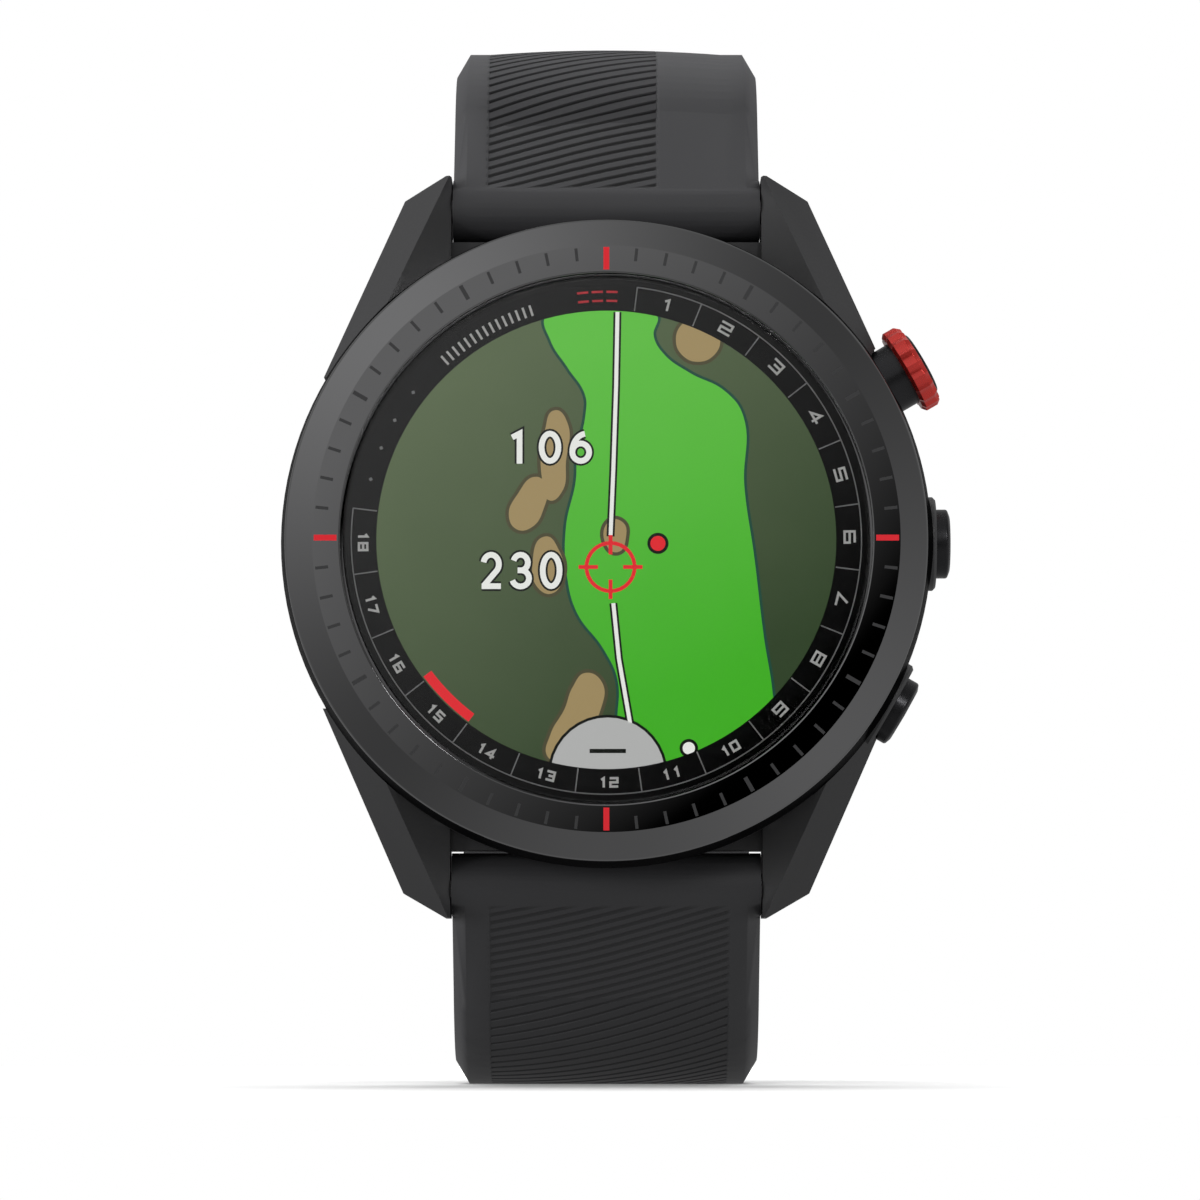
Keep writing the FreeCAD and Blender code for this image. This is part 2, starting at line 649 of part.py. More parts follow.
class Half:
    """Mid-line of one strap half in the y-z plane. up is 1 for the upper half, -1 for the lower."""

    def __init__(self, up, rise, curves):
        self.up = up
        self.rise = rise
        self.curves = curves

    def along(self, distance, out):
        """Point beside the straight root: distance along it, out towards the outer face."""
        across = f"dims.bar_depth + ({distance}) * sin(dims.rise_angle) - ({out}) * cos(dims.rise_angle)"
        upward = f"{BAR} + ({distance}) * cos(dims.rise_angle) + ({out}) * sin(dims.rise_angle)"
        return across, f"{self.up} * ({upward})"

    def centre(self, number):
        """Centre of curve number 0 (the tight bend), 1, ... as unsigned expressions."""
        lean = "dims.rise_angle"
        across = f"(dims.bar_depth + {self.rise} * sin({lean}) + dims.bend_radius * cos({lean}))"
        upward = f"({BAR} + {self.rise} * cos({lean}) - dims.bend_radius * sin({lean}))"
        for index in range(number):
            step = f"({self.curves[index][0]} - {self.curves[index + 1][0]})"
            turn = self.curves[index][1]
            across = f"({across} + {step} * cos({turn}))"
            upward = f"({upward} + {step} * sin({turn}))"
        return across, upward

    def on_curve(self, number, angle, out):
        """Point at a polar angle of a curve, out beyond the mid-line."""
        across, upward = self.centre(number)
        radius = f"({self.curves[number][0]} + {out})"
        return f"{across} + {radius} * cos({angle})", f"{self.up} * ({upward} + {radius} * sin({angle}))"

    def outline(self):
        """Closed side outline of the strap and the arcs on it."""
        points = []
        bulges = {}
        half = "dims.strap_thickness / 2"
        starts = ["180 - dims.rise_angle"] + [curve[1] for curve in self.curves[:-1]]
        for sign in (1, -1):
            order = range(len(self.curves)) if sign == 1 else reversed(range(len(self.curves)))
            if sign == 1:
                points.append(self.along("0", EYE_RADIUS))
            for number in order:
                radius, end = self.curves[number]
                begin = starts[number]
                first, last = (begin, end) if sign == 1 else (end, begin)
                middle = f"(({begin}) + ({end})) / 2"
                out = f"({sign}) * {half}"
                points.append(self.on_curve(number, first, out))
                bulges[len(points) - 1] = (f"{radius} + {out}", self.on_curve(number, middle, out))
                is_last = number == (len(self.curves) - 1 if sign == 1 else 0)
                if is_last:
                    points.append(self.on_curve(number, last, out))
        points.append(self.along("0", f"-{half}"))
        return points, bulges


UPPER = Half(1, "dims.upper_rise", [
    ("dims.bend_radius", "dims.bend_end"),
    ("dims.upper_sweep", "dims.upper_end"),
])
LOWER = Half(-1, "dims.lower_rise", [
    ("dims.bend_radius", "dims.bend_end"),
    ("dims.lower_sweep", "dims.lower_turn"),
    ("dims.tail_sweep", "dims.lower_end"),
])


def make_strap(name, half):
    """Moulded strap half with an eye round its hook and bevelled outer edges."""
    body = new_body(name)
    sketch = new_sketch(body, "YZ_Plane")
    points, bulges = half.outline()
    draw_outline(sketch, points, bulges)
    extrude(body, sketch, "dims.strap_width", both=True)
    DOC.recompute()
    bevel_outer_edges(body, half)
    eye = new_sketch(body, "YZ_Plane")
    draw_circle(eye, "dims.bar_depth", f"{half.up} * {BAR}", EYE_RADIUS)
    extrude(body, eye, "dims.strap_width", both=True)
    bore = new_sketch(body, "YZ_Plane")
    draw_circle(bore, "dims.bar_depth", f"{half.up} * {BAR}", "1.5")
    extrude(body, bore, "dims.strap_width + 2", cut=True, both=True)
    mouth = new_sketch(body, "YZ_Plane")
    draw_outline(mouth, [half.along("-0.6", "-0.5"), half.along("-0.6", "-3"),
                         half.along("0.9", "-3"), half.along("0.9", "-0.5")])
    extrude(body, mouth, "dims.strap_width + 2", cut=True, both=True)
    recess = new_sketch(body, "YZ_Plane")
    draw_outline(recess, [half.along("2.6", "-0.4"), half.along("2.6", "-3"),
                          half.along("7.4", "-3"), half.along("7.4", "-0.4")])
    extrude(body, recess, "9", cut=True, both=True)
    return body


def bevel_outer_edges(body, half):
    """Chamfer the two long edges of the outer face."""
    limit = measure("dims.strap_width") / 2 - 0.01
    plain = body.Tip
    outer = []
    for number, edge in enumerate(plain.Shape.Edges, start=1):
        box = edge.BoundBox
        on_side = box.XLength < 0.01 and abs(box.XMax) > limit
        if on_side and lies_on_outer_face(edge, half):
            outer.append(f"Edge{number}")
    bevel = body.newObject("PartDesign::Chamfer", body.Name + "_bevel")
    bevel.Base = (plain, outer)
    bevel.ChamferType = "Two distances"
    bevel.Size = 1.0
    bevel.Size2 = 1.7
    body.Tip = bevel
    DOC.recompute()


def lies_on_outer_face(edge, half):
    """True for an edge whose middle is half a thickness outside the mid-line."""
    middle = edge.valueAt((edge.FirstParameter + edge.LastParameter) / 2)
    thick = measure("dims.strap_thickness") / 2
    if edge.Curve.TypeId == "Part::GeomCircle":
        radii = [measure(curve[0]) for curve in half.curves]
        return min(abs(edge.Curve.Radius - radius - thick) for radius in radii) < 1e-4
    start = half.along("0", EYE_RADIUS)
    end = half.on_curve(0, "180 - dims.rise_angle", "dims.strap_thickness / 2")
    target = V(middle.x, (measure(start[0]) + measure(end[0])) / 2, (measure(start[1]) + measure(end[1])) / 2)
    return middle.distanceToPoint(target) < 0.01


def curve_sketch(body, half, number, angle):
    """A sketch through a curve's centre: x across the strap, y outwards at a polar angle."""
    across, upward = half.centre(number)
    centre = ("0", across, f"{half.up} * {upward}")
    return new_sketch(body, "XY_Plane", centre, f"{half.up} * ({angle})", V(1, 0, 0))


def make_upper_strap():
    body = make_strap("strap_upper", UPPER)
    across, upward = UPPER.on_curve(1, "dims.upper_end", "0")
    tube = new_sketch(body, "YZ_Plane")
    draw_circle(tube, across, upward, "1.7")
    extrude(body, tube, "dims.strap_width", both=True)
    bore = new_sketch(body, "YZ_Plane")
    draw_circle(bore, across, upward, "0.75 + dims.running_gap")
    extrude(body, bore, "dims.strap_width + 2", cut=True, both=True)
    notch = new_sketch(body, "YZ_Plane")
    draw_circle(notch, across, upward, "2.6")
    extrude(body, notch, "4.4", cut=True, both=True)
    return finish_part(body, "strap_upper")


def make_lower_strap():
    """The half with the row of holes and the tapered tail."""
    body = make_strap("strap_lower", LOWER)
    thick = "dims.strap_thickness"
    first = new_sketch(body, "XY_Plane",
                       ("0", LOWER.centre(1)[0], f"-1 * {LOWER.centre(1)[1]}"), "-20 - 90", V(1, 0, 0))
    draw_circle(first, "0", "0", "1.2")
    hole = extrude(body, first, f"dims.lower_sweep + {thick}", cut=True, reverse=True)
    pattern = body.newObject("PartDesign::PolarPattern", "strap_holes")
    pattern.Originals = [hole]
    pattern.Axis = (first, ["H_Axis"])
    pattern.Angle = 66
    pattern.Occurrences = 9
    body.Tip = pattern
    tip = new_sketch(body, "XY_Plane", ("0", LOWER.centre(2)[0], f"-1 * {LOWER.centre(2)[1]}"),
                     "-1 * (dims.lower_end) - 90", V(1, 0, 0))
    wide = "dims.strap_width / 2 + 0.1"
    for side in (1, -1):
        draw_outline(tip, [(f"{side} * ({wide})", "-0.5"), (f"{side} * ({wide})", "6.5"),
                           (f"{side} * 5.5", "-0.5")])
    extrude(body, tip, f"dims.tail_sweep + {thick}", cut=True, reverse=True)
    return finish_part(body, "strap_lower")


def make_hook(name, half):
    """Open metal hook bonded into a strap half's eye; it clips over a lug bar."""
    body = new_body(name)
    sketch = new_sketch(body, "YZ_Plane")
    draw_circle(sketch, "dims.bar_depth", f"{half.up} * {BAR}", "1.5")
    draw_circle(sketch, "dims.bar_depth", f"{half.up} * {BAR}", "dims.bar_radius + dims.running_gap")
    extrude(body, sketch, "dims.strap_width - 0.4", both=True)
    mouth = new_sketch(body, "YZ_Plane")
    draw_outline(mouth, [half.along("-0.6", "-0.5"), half.along("-0.6", "-3"),
                         half.along("0.9", "-3"), half.along("0.9", "-0.5")])
    extrude(body, mouth, "dims.strap_width + 2", cut=True, both=True)
    return finish_part(body, name)


def make_latch(name, half):
    """Sliding release catch in the recess on the strap's inner face."""
    body = new_body(name)
    sketch = new_sketch(body, "YZ_Plane")
    draw_outline(sketch, [
        half.along("2.8", "-0.5"), half.along("5.8", "-0.5"), half.along("5.8", "-1.2"),
        half.along("5.1", "-1.2"), half.along("5.1", "-0.95"), half.along("4.6", "-0.95"),
        half.along("4.6", "-1.2"), half.along("4.0", "-1.2"), half.along("4.0", "-0.95"),
        half.along("3.5", "-0.95"), half.along("3.5", "-1.2"), half.along("2.8", "-1.2"),
    ])
    extrude(body, sketch, "8.4", both=True)
    return finish_part(body, name)


def make_keeper(name, angle, gap):
    """Loop round the upper strap, wide enough on the outside for the tail."""
    body = new_body(name)
    sketch = curve_sketch(body, UPPER, 1, angle)
    middle = "dims.upper_sweep"
    half = "dims.strap_thickness / 2"
    wide = "dims.strap_width / 2 + dims.free_gap"
    inner = f"{middle} - {half} - {gap}"
    outer = f"{middle} + {half} + dims.strap_thickness + dims.free_gap"
    draw_box(sketch, f"-({wide} + 1)", f"{wide} + 1", f"{inner} - 0.8", f"{outer} + 1")
    draw_box(sketch, f"-({wide})", wide, inner, outer)
    spin(body, sketch, axis="H_Axis", angle="6", both=True)
    return finish_part(body, name)


# ---------------------------------------------------------------- the buckle
def place_buckle(body, label):
    """Turn a buckle piece to the strap end's direction and put it on the buckle bar."""
    across, upward = UPPER.on_curve(1, "dims.upper_end", "0")
    body.Label = label
    body.Placement.Rotation = FreeCAD.Rotation(V(1, 0, 0), measure("dims.upper_end"))
    body.setExpression("Placement.Rotation.Angle", "dims.upper_end")
    for side, value, shift in zip("xyz", DIAL_PLACE, ("0", across, upward)):
        body.setExpression(f"Placement.Base.{side}", f"{value} + {shift}")
    PARTS.append(body)


def make_buckle():
    """Frame, bar and tongue, drawn about the bar with the frame running down local z."""
    wide = "dims.strap_width / 2 + 0.5"
    frame = new_body("buckle_frame")
    plan = new_sketch(frame, "XZ_Plane", ("0", "0", "-0.9"))
    draw_outline(plan, [
        (f"-({wide} + 2)", "1.6"), (f"-({wide})", "1.6"), (f"-({wide})", "-9.4"), (wide, "-9.4"),
        (wide, "1.6"), (f"{wide} + 2", "1.6"), (f"{wide} + 2", "-9.9"), (f"{wide} + 0.5", "-11.6"),
        (f"-({wide} + 0.5)", "-11.6"), (f"-({wide} + 2)", "-9.9"),
    ])
    extrude(frame, plan, "1.9")
    holes = new_sketch(frame, "YZ_Plane")
    draw_circle(holes, "0", "0", "0.75")
    extrude(frame, holes, "40", cut=True, both=True)
    place_buckle(frame, "buckle_frame")
    bar = new_body("buckle_bar")
    section = new_sketch(bar, "YZ_Plane")
    draw_circle(section, "0", "0", "0.75")
    extrude(bar, section, f"2 * ({wide}) + 3.6", both=True)
    place_buckle(bar, "buckle_bar")
    make_tongue()


def make_tongue():
    tongue = new_body("buckle_tongue")
    side = new_sketch(tongue, "YZ_Plane")
    draw_outline(side, [
        ("0", "0"), ("1.5", "0"), ("2.0", "-9"), ("2.0", "-12"),
        ("1.1", "-12.4"), ("1.1", "-9"), ("0.7", "-2"), ("0", "-1.5"),
    ])
    extrude(tongue, side, "2.2", both=True)
    hub = new_sketch(tongue, "YZ_Plane")
    draw_circle(hub, "0", "0", "1.5")
    extrude(tongue, hub, "3.4", both=True)
    bore = new_sketch(tongue, "YZ_Plane")
    draw_circle(bore, "0", "0", "0.75 + dims.running_gap")
    extrude(tongue, bore, "6", cut=True, both=True)
    place_buckle(tongue, "buckle_tongue")


# ---------------------------------------------------------------- build and write
def build_watch():
    make_case()
    make_bezel()
    make_bezel_gasket()
    make_lens()
    make_lens_stack()
    make_display_flex()
    make_battery()
    make_chassis()
    make_boards()
    make_antenna()
    make_button_board()
    make_button_barrels()
    make_start_button()
    for name in ("middle", "lower"):
        make_black_button(name)
    make_back_cover()
    make_sensor()
    make_lug_bars()
    make_upper_strap()
    make_lower_strap()
    for name, half in (("upper", UPPER), ("lower", LOWER)):
        make_hook(f"hook_{name}", half)
        make_latch(f"latch_{name}", half)
    make_keeper("keeper_fixed", "dims.upper_end + 9", "0")
    make_keeper("keeper_free", "dims.upper_end + 30", "dims.free_gap")
    make_buckle()


def check_objects():
    """Stop if any object has failed or any sub-part isn't a sound solid."""
    for item in DOC.Objects:
        if "Invalid" in item.State or "Error" in item.State:
            raise RuntimeError(f"{item.Name}: {item.State}")
    for part in PARTS:
        shape = part.Shape
        if shape.isNull() or not shape.isValid() or not shape.Solids:
            raise RuntimeError(f"{part.Label} has no sound solid")


def write_parts():
    os.makedirs("parts", exist_ok=True)
    for part in PARTS:
        part.Shape.exportStep(f"parts/{part.Label}.step")


build_watch()
DOC.recompute()
check_objects()
write_parts()
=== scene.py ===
"""Looks of the golf GPS watch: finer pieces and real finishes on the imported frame."""
import bpy
import bmesh
import math
from mathutils import Matrix, Vector


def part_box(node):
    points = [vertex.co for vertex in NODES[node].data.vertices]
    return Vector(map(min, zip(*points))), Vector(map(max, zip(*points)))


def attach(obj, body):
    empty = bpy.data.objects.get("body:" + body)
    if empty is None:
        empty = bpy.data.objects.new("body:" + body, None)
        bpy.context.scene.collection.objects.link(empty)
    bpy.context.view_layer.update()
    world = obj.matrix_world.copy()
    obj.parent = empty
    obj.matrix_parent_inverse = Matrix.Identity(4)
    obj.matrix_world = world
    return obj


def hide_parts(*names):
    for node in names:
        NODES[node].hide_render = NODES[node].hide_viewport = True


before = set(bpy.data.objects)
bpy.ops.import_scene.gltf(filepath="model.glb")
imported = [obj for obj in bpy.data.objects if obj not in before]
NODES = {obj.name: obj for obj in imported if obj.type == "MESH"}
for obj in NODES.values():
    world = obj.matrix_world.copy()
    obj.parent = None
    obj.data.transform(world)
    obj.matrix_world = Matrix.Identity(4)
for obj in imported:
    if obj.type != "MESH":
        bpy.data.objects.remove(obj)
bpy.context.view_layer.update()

MM = 0.001

# ------------------------------------------------------------------ where things are
lens_low, lens_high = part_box("lens")
bezel_low, bezel_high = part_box("bezel")
back_low, back_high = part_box("sensor_window")
DIAL = Vector(((lens_low[0] + lens_high[0]) / 2, bezel_low[1], (lens_low[2] + lens_high[2]) / 2))
BEZEL_RADIUS = (bezel_high[0] - bezel_low[0]) / 2 / MM
BEZEL_DEPTH = (bezel_high[1] - bezel_low[1]) / MM
WINDOW_RADIUS = (lens_high[0] - lens_low[0]) / 2 / MM + 0.16
FLAT_RADIUS = BEZEL_RADIUS - 2.05
PANEL_DEPTH = (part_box("display_panel")[0][1] - DIAL.y) / MM
RING_DEPTH = (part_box("number_ring")[0][1] - DIAL.y) / MM
DISPLAY_RADIUS = 16.5
CASE_RADIUS = (DIAL.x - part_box("case")[0][0]) / MM


def dial(x, z, depth=0.0):
    """A point given in millimetres on the dial, depth behind the bezel's front plane."""
    return DIAL + Vector((x, depth, z)) * MM


def clock(angle, radius):
    """Dial x and z of a point at a clock angle in degrees."""
    turn = math.radians(angle)
    return radius * math.sin(turn), radius * math.cos(turn)


# ------------------------------------------------------------------ materials
def linear(hex_code):
    """An sRGB hex colour as linear RGBA."""
    values = [int(hex_code[i:i + 2], 16) / 255 for i in (1, 3, 5)]
    return [v / 12.92 if v <= 0.04045 else ((v + 0.055) / 1.055) ** 2.4 for v in values] + [1.0]


def add(tree, kind, inputs=None, **settings):
    """Add a node with its settings; an input is a value or another node's output."""
    item = tree.nodes.new(kind)
    for name, value in settings.items():
        setattr(item, name, value)
    for name, value in (inputs or {}).items():
        if isinstance(value, bpy.types.NodeSocket):
            tree.links.new(value, item.inputs[name])
        else:
            item.inputs[name].default_value = value
    return item


def math_node(tree, operation, first, second=0.0, third=0.0):
    return add(tree, "ShaderNodeMath", {0: first, 1: second, 2: third}, operation=operation).outputs["Value"]


def start_material(name, hex_code, roughness, metallic=0.0, **shader_inputs):
    material = bpy.data.materials.new(name)
    material.use_nodes = True
    tree = material.node_tree
    shader = tree.nodes["Principled BSDF"]
    shader.inputs["Base Color"].default_value = linear(hex_code)
    shader.inputs["Roughness"].default_value = roughness
    shader.inputs["Metallic"].default_value = metallic
    for socket, value in shader_inputs.items():
        shader.inputs[socket.replace("_", " ")].default_value = value
    return material, tree, shader


def grain(tree, shader, size_mm, height_mm, strength=0.5, stretch=(1, 1, 1), spread=None):
    """Fine surface grain as bump, and as a spread of roughness if asked."""
    place = add(tree, "ShaderNodeTexCoord")
    scaled = add(tree, "ShaderNodeMapping", {"Vector": place.outputs["Object"], "Scale": stretch})
    noise = add(tree, "ShaderNodeTexNoise",
                {"Vector": scaled.outputs["Vector"], "Scale": 1 / (size_mm * MM), "Detail": 3.0})
    bump = add(tree, "ShaderNodeBump",
               {"Height": noise.outputs["Fac"], "Strength": strength, "Distance": height_mm * MM})
    tree.links.new(bump.outputs["Normal"], shader.inputs["Normal"])
    if spread:
        level = add(tree, "ShaderNodeMapRange",
                    {"Value": noise.outputs["Fac"], "From Min": 0.3, "From Max": 0.7,
                     "To Min": spread[0], "To Max": spread[1]})
        tree.links.new(level.outputs["Result"], shader.inputs["Roughness"])
    return noise


def rim_mask(tree):
    """One on the turned rim that stands round the bezel, where the shadow line between bezel and case is
    painted; nought on the rest of the case.
    """
    place = add(tree, "ShaderNodeTexCoord")
    parts = add(tree, "ShaderNodeSeparateXYZ", {"Vector": place.outputs["Object"]})
    across = math_node(tree, "SUBTRACT", parts.outputs["X"], DIAL.x)
    upward = math_node(tree, "SUBTRACT", parts.outputs["Z"], DIAL.z)
    square = math_node(tree, "MULTIPLY_ADD", across, across, math_node(tree, "MULTIPLY", upward, upward))
    outside = math_node(tree, "GREATER_THAN", math_node(tree, "SQRT", square), (CASE_RADIUS + 0.02) * MM)
    deeper = math_node(tree, "GREATER_THAN", parts.outputs["Y"], DIAL.y + (BEZEL_DEPTH + 2.1) * MM)
    return math_node(tree, "SUBTRACT", 1.0, math_node(tree, "MAXIMUM", outside, deeper))


def moulded_polymer():
    """Fibre-filled nylon from a spark-eroded mould, with an even fine grain; its turned rim round the bezel
    is painted near black with almost no shine, as painted shade for the shadow line between bezel and case.
    """
    material, tree, shader = start_material("moulded_fibre_polymer", "#3a3a3b", 0.42)
    grain(tree, shader, 0.16, 0.012, 0.35, spread=(0.36, 0.5))
    # Painted shade: the rim round the bezel gets a near-black colour and almost no shine, standing for the
    # shadow line between bezel and case.
    rim = rim_mask(tree)
    shade = add(tree, "ShaderNodeMixRGB", {"Fac": rim, "Color1": linear("#3a3a3b"),
                                           "Color2": linear("#070708")})
    tree.links.new(shade.outputs["Color"], shader.inputs["Base Color"])
    shine = add(tree, "ShaderNodeMapRange", {"Value": rim, "To Min": 0.5, "To Max": 0.04})
    tree.links.new(shine.outputs["Result"], shader.inputs["Specular IOR Level"])
    return material


def satin_back():
    """Glossier polymer of the back, polished where it meets the skin."""
    material, tree, shader = start_material("polished_back_polymer", "#1b1b1d", 0.28)
    grain(tree, shader, 0.3, 0.006, 0.2, spread=(0.24, 0.34))
    return material


def coated_bezel():
    """Polished stainless steel with a hard carbon coating: a dark mirror, faintly wiped."""
    material, tree, shader = start_material("coated_bezel_steel", "#8a8a8b", 0.03, 1.0)
    place = add(tree, "ShaderNodeTexCoord")
    smear = add(tree, "ShaderNodeTexNoise", {"Vector": place.outputs["Object"], "Scale": 1 / (9 * MM)})
    level = add(tree, "ShaderNodeMapRange", {"Value": smear.outputs["Fac"], "To Min": 0.015, "To Max": 0.03})
    tree.links.new(level.outputs["Result"], shader.inputs["Roughness"])
    return material


def brushed_metal(name, hex_code, roughness, stretch=(1, 12, 12), size_mm=0.6):
    """Stainless steel brushed one way, so its highlights run across the brushing."""
    material, tree, shader = start_material(name, hex_code, roughness, 1.0)
    grain(tree, shader, size_mm, 0.006, 0.3, stretch=stretch, spread=(roughness - 0.06, roughness + 0.08))
    return material


def red_anodised():
    """Aluminium dyed red in the anodising bath and polished: bright edges under a clear oxide."""
    material, tree, shader = start_material("red_anodised_aluminium", "#ee4038", 0.26, 0.7, Coat_Weight=0.6,
                                            Coat_Roughness=0.12)
    grain(tree, shader, 0.08, 0.003, 0.15, spread=(0.2, 0.3))
    return material


def black_anodised():
    """Aluminium dyed black: satin, with a faint turned grain."""
    material, tree, shader = start_material("black_anodised_aluminium", "#3b3b3d", 0.28, 0.8)
    grain(tree, shader, 0.1, 0.005, 0.25, spread=(0.22, 0.34))
    return material


def clear_glass():
    """Chemically strengthened cover glass, polished."""
    return start_material("cover_glass", "#ffffff", 0.0, Transmission_Weight=1.0, IOR=1.45)[0]


def tinted_glass():
    """Dark tinted window over the optical sensor."""
    material, tree, shader = start_material("tinted_sensor_glass", "#0b0b10", 0.14, Coat_Weight=0.2,
                                            Coat_Roughness=0.1)
    grain(tree, shader, 6, 0.002, 0.05, spread=(0.11, 0.18))
    return material


def printed(name, hex_code, painted_glow=0.0, roughness=0.55, shine=0.5):
    """Printed ink or plain moulding; a fine unevenness shows only in how it shines. A glow, where given, is
    painted light: an emission in the ink's own colour, though the ink is no lamp.
    """
    material, tree, shader = start_material(name, hex_code, roughness, Specular_IOR_Level=shine)
    place = add(tree, "ShaderNodeTexCoord")
    noise = add(tree, "ShaderNodeTexNoise", {"Vector": place.outputs["Object"], "Scale": 1 / (0.4 * MM)})
    level = add(tree, "ShaderNodeMapRange",
                {"Value": noise.outputs["Fac"], "To Min": roughness - 0.05, "To Max": roughness + 0.05})
    tree.links.new(level.outputs["Result"], shader.inputs["Roughness"])
    # Painted glow: the ink gives off a little light of its own colour.
    if painted_glow:
        shader.inputs["Emission Color"].default_value = linear(hex_code)
        shader.inputs["Emission Strength"].default_value = painted_glow
    return material


def lit(name, hex_code, strength=1.0):
    """Lit area of the display: its own light in a black panel, with the faint grid of its dots' rows."""
    material, tree, shader = start_material(name, "#050505", 0.4, Specular_IOR_Level=0.1)
    place = add(tree, "ShaderNodeTexCoord")
    rows = add(tree, "ShaderNodeTexWave", {"Vector": place.outputs["Object"], "Scale": 1 / (0.26 * MM)},
               wave_type="BANDS", bands_direction="Z")
    shade = add(tree, "ShaderNodeMixRGB", {"Fac": rows.outputs["Fac"], "Color1": linear(hex_code),
                                           "Color2": [0.97 * v for v in linear(hex_code)[:3]] + [1]})
    tree.links.new(shade.outputs["Color"], shader.inputs["Emission Color"])
    shader.inputs["Emission Strength"].default_value = strength
    return material


def lit_gradient(name, near_hex, far_hex, axis, reach_mm):
    """Lit area that fades from one colour to another along a dial direction."""
    material, tree, shader = start_material(name, "#050505", 0.4, Specular_IOR_Level=0.1)
    place = add(tree, "ShaderNodeTexCoord")
    centred = add(tree, "ShaderNodeVectorMath",
                  {0: place.outputs["Object"], 1: (DIAL.x, DIAL.y, DIAL.z)}, operation="SUBTRACT")
    across = add(tree, "ShaderNodeVectorMath",
                 {0: centred.outputs["Vector"], 1: (axis[0], 0, axis[1])}, operation="DOT_PRODUCT")
    level = add(tree, "ShaderNodeMapRange",
                {"Value": across.outputs["Value"], "From Min": -reach_mm * MM, "From Max": reach_mm * MM})
    patches = add(tree, "ShaderNodeTexNoise", {"Vector": place.outputs["Object"], "Scale": 1 / (6 * MM)})
    mixed = math_node(tree, "MULTIPLY_ADD", patches.outputs["Fac"], 0.16, level.outputs["Result"])
    shade = add(tree, "ShaderNodeMixRGB", {"Fac": mixed, "Color1": linear(near_hex),
                                           "Color2": linear(far_hex)})
    tree.links.new(shade.outputs["Color"], shader.inputs["Emission Color"])
    shader.inputs["Emission Strength"].default_value = 1.0
    return material


def silicone(name, grooves):
    """Compression-moulded silicone, matt to the touch; grooves follow the strap's own UV map in mm, and their
    hollows get painted shade.
    """
    material, tree, shader = start_material(name, "#38383a", 0.5)
    place = add(tree, "ShaderNodeTexCoord")
    noise = add(tree, "ShaderNodeTexNoise",
                {"Vector": place.outputs["Object"], "Scale": 1 / (0.12 * MM), "Detail": 2.0})
    bump = add(tree, "ShaderNodeBump", {"Height": noise.outputs["Fac"], "Strength": 0.25,
                                        "Distance": 0.01 * MM})
    tree.links.new(bump.outputs["Normal"], shader.inputs["Normal"])
    level = add(tree, "ShaderNodeMapRange", {"Value": noise.outputs["Fac"], "To Min": 0.44, "To Max": 0.58})
    tree.links.new(level.outputs["Result"], shader.inputs["Roughness"])
    if grooves:
        cut_grooves(tree, shader, bump, *grooves)
    return material


def cut_grooves(tree, shader, grain_bump, left, right, start, end, rise, pitch, groove_shade):
    """Slanting moulded grooves between two sides (mm across) and two lengths (mm along); the grooves are
    bump, and their bottoms are painted near black as painted shade.
    """
    along = add(tree, "ShaderNodeUVMap", uv_map="strap_mm")
    parts = add(tree, "ShaderNodeSeparateXYZ", {"Vector": along.outputs["UV"]})
    across, length = parts.outputs["X"], parts.outputs["Y"]
    slant = add(tree, "ShaderNodeMath", {0: across, 1: -rise, 2: length}, operation="MULTIPLY_ADD")
    sag = add(tree, "ShaderNodeMath", {0: across, 1: across}, operation="MULTIPLY")
    curved = add(tree, "ShaderNodeMath", {0: sag.outputs["Value"], 1: GROOVE_SAG, 2: slant.outputs["Value"]},
                 operation="MULTIPLY_ADD")
    phase = add(tree, "ShaderNodeMath", {0: curved.outputs["Value"], 1: 2 * math.pi / pitch},
                operation="MULTIPLY")
    wave = add(tree, "ShaderNodeMath", {0: phase.outputs["Value"]}, operation="SINE")
    mask = None
    for value, low, high in ((across, left, right), (length, start, end)):
        rising = add(tree, "ShaderNodeMapRange", {"Value": value, "From Min": low - 0.15,
                                                  "From Max": low + 0.15})
        falling = add(tree, "ShaderNodeMapRange", {"Value": value, "From Min": high - 0.15,
                                                   "From Max": high + 0.15,
                                                   "To Min": 1.0, "To Max": 0.0})
        both = add(tree, "ShaderNodeMath", {0: rising.outputs["Result"], 1: falling.outputs["Result"]},
                   operation="MULTIPLY")
        if mask is None:
            mask = both
        else:
            mask = add(tree, "ShaderNodeMath", {0: mask.outputs["Value"], 1: both.outputs["Value"]},
                       operation="MULTIPLY")
    groove = add(tree, "ShaderNodeMapRange", {"Value": wave.outputs["Value"], "From Min": -0.75,
                                              "From Max": 0.15,
                                              "To Min": 1.0, "To Max": 0.0})
    cut = add(tree, "ShaderNodeMath", {0: groove.outputs["Result"], 1: mask.outputs["Value"]},
              operation="MULTIPLY")
    height = add(tree, "ShaderNodeMath", {0: 1.0, 1: cut.outputs["Value"]}, operation="SUBTRACT")
    bump = add(tree, "ShaderNodeBump", {"Height": height.outputs["Value"], "Strength": 0.8,
                                        "Distance": 0.1 * MM,
                                        "Normal": grain_bump.outputs["Normal"]})
    tree.links.new(bump.outputs["Normal"], shader.inputs["Normal"])
    # Painted shade: the base colour goes towards near black down in each groove, by the given share.
    groove_shade_level = add(tree, "ShaderNodeMapRange", {"Value": height.outputs["Value"], "To Min": 1 - groove_shade})
    shade = add(tree, "ShaderNodeMixRGB", {"Fac": groove_shade_level.outputs["Result"], "Color1": linear("#060607"),
                                           "Color2": linear("#3f3f41")})
    tree.links.new(shade.outputs["Color"], shader.inputs["Base Color"])


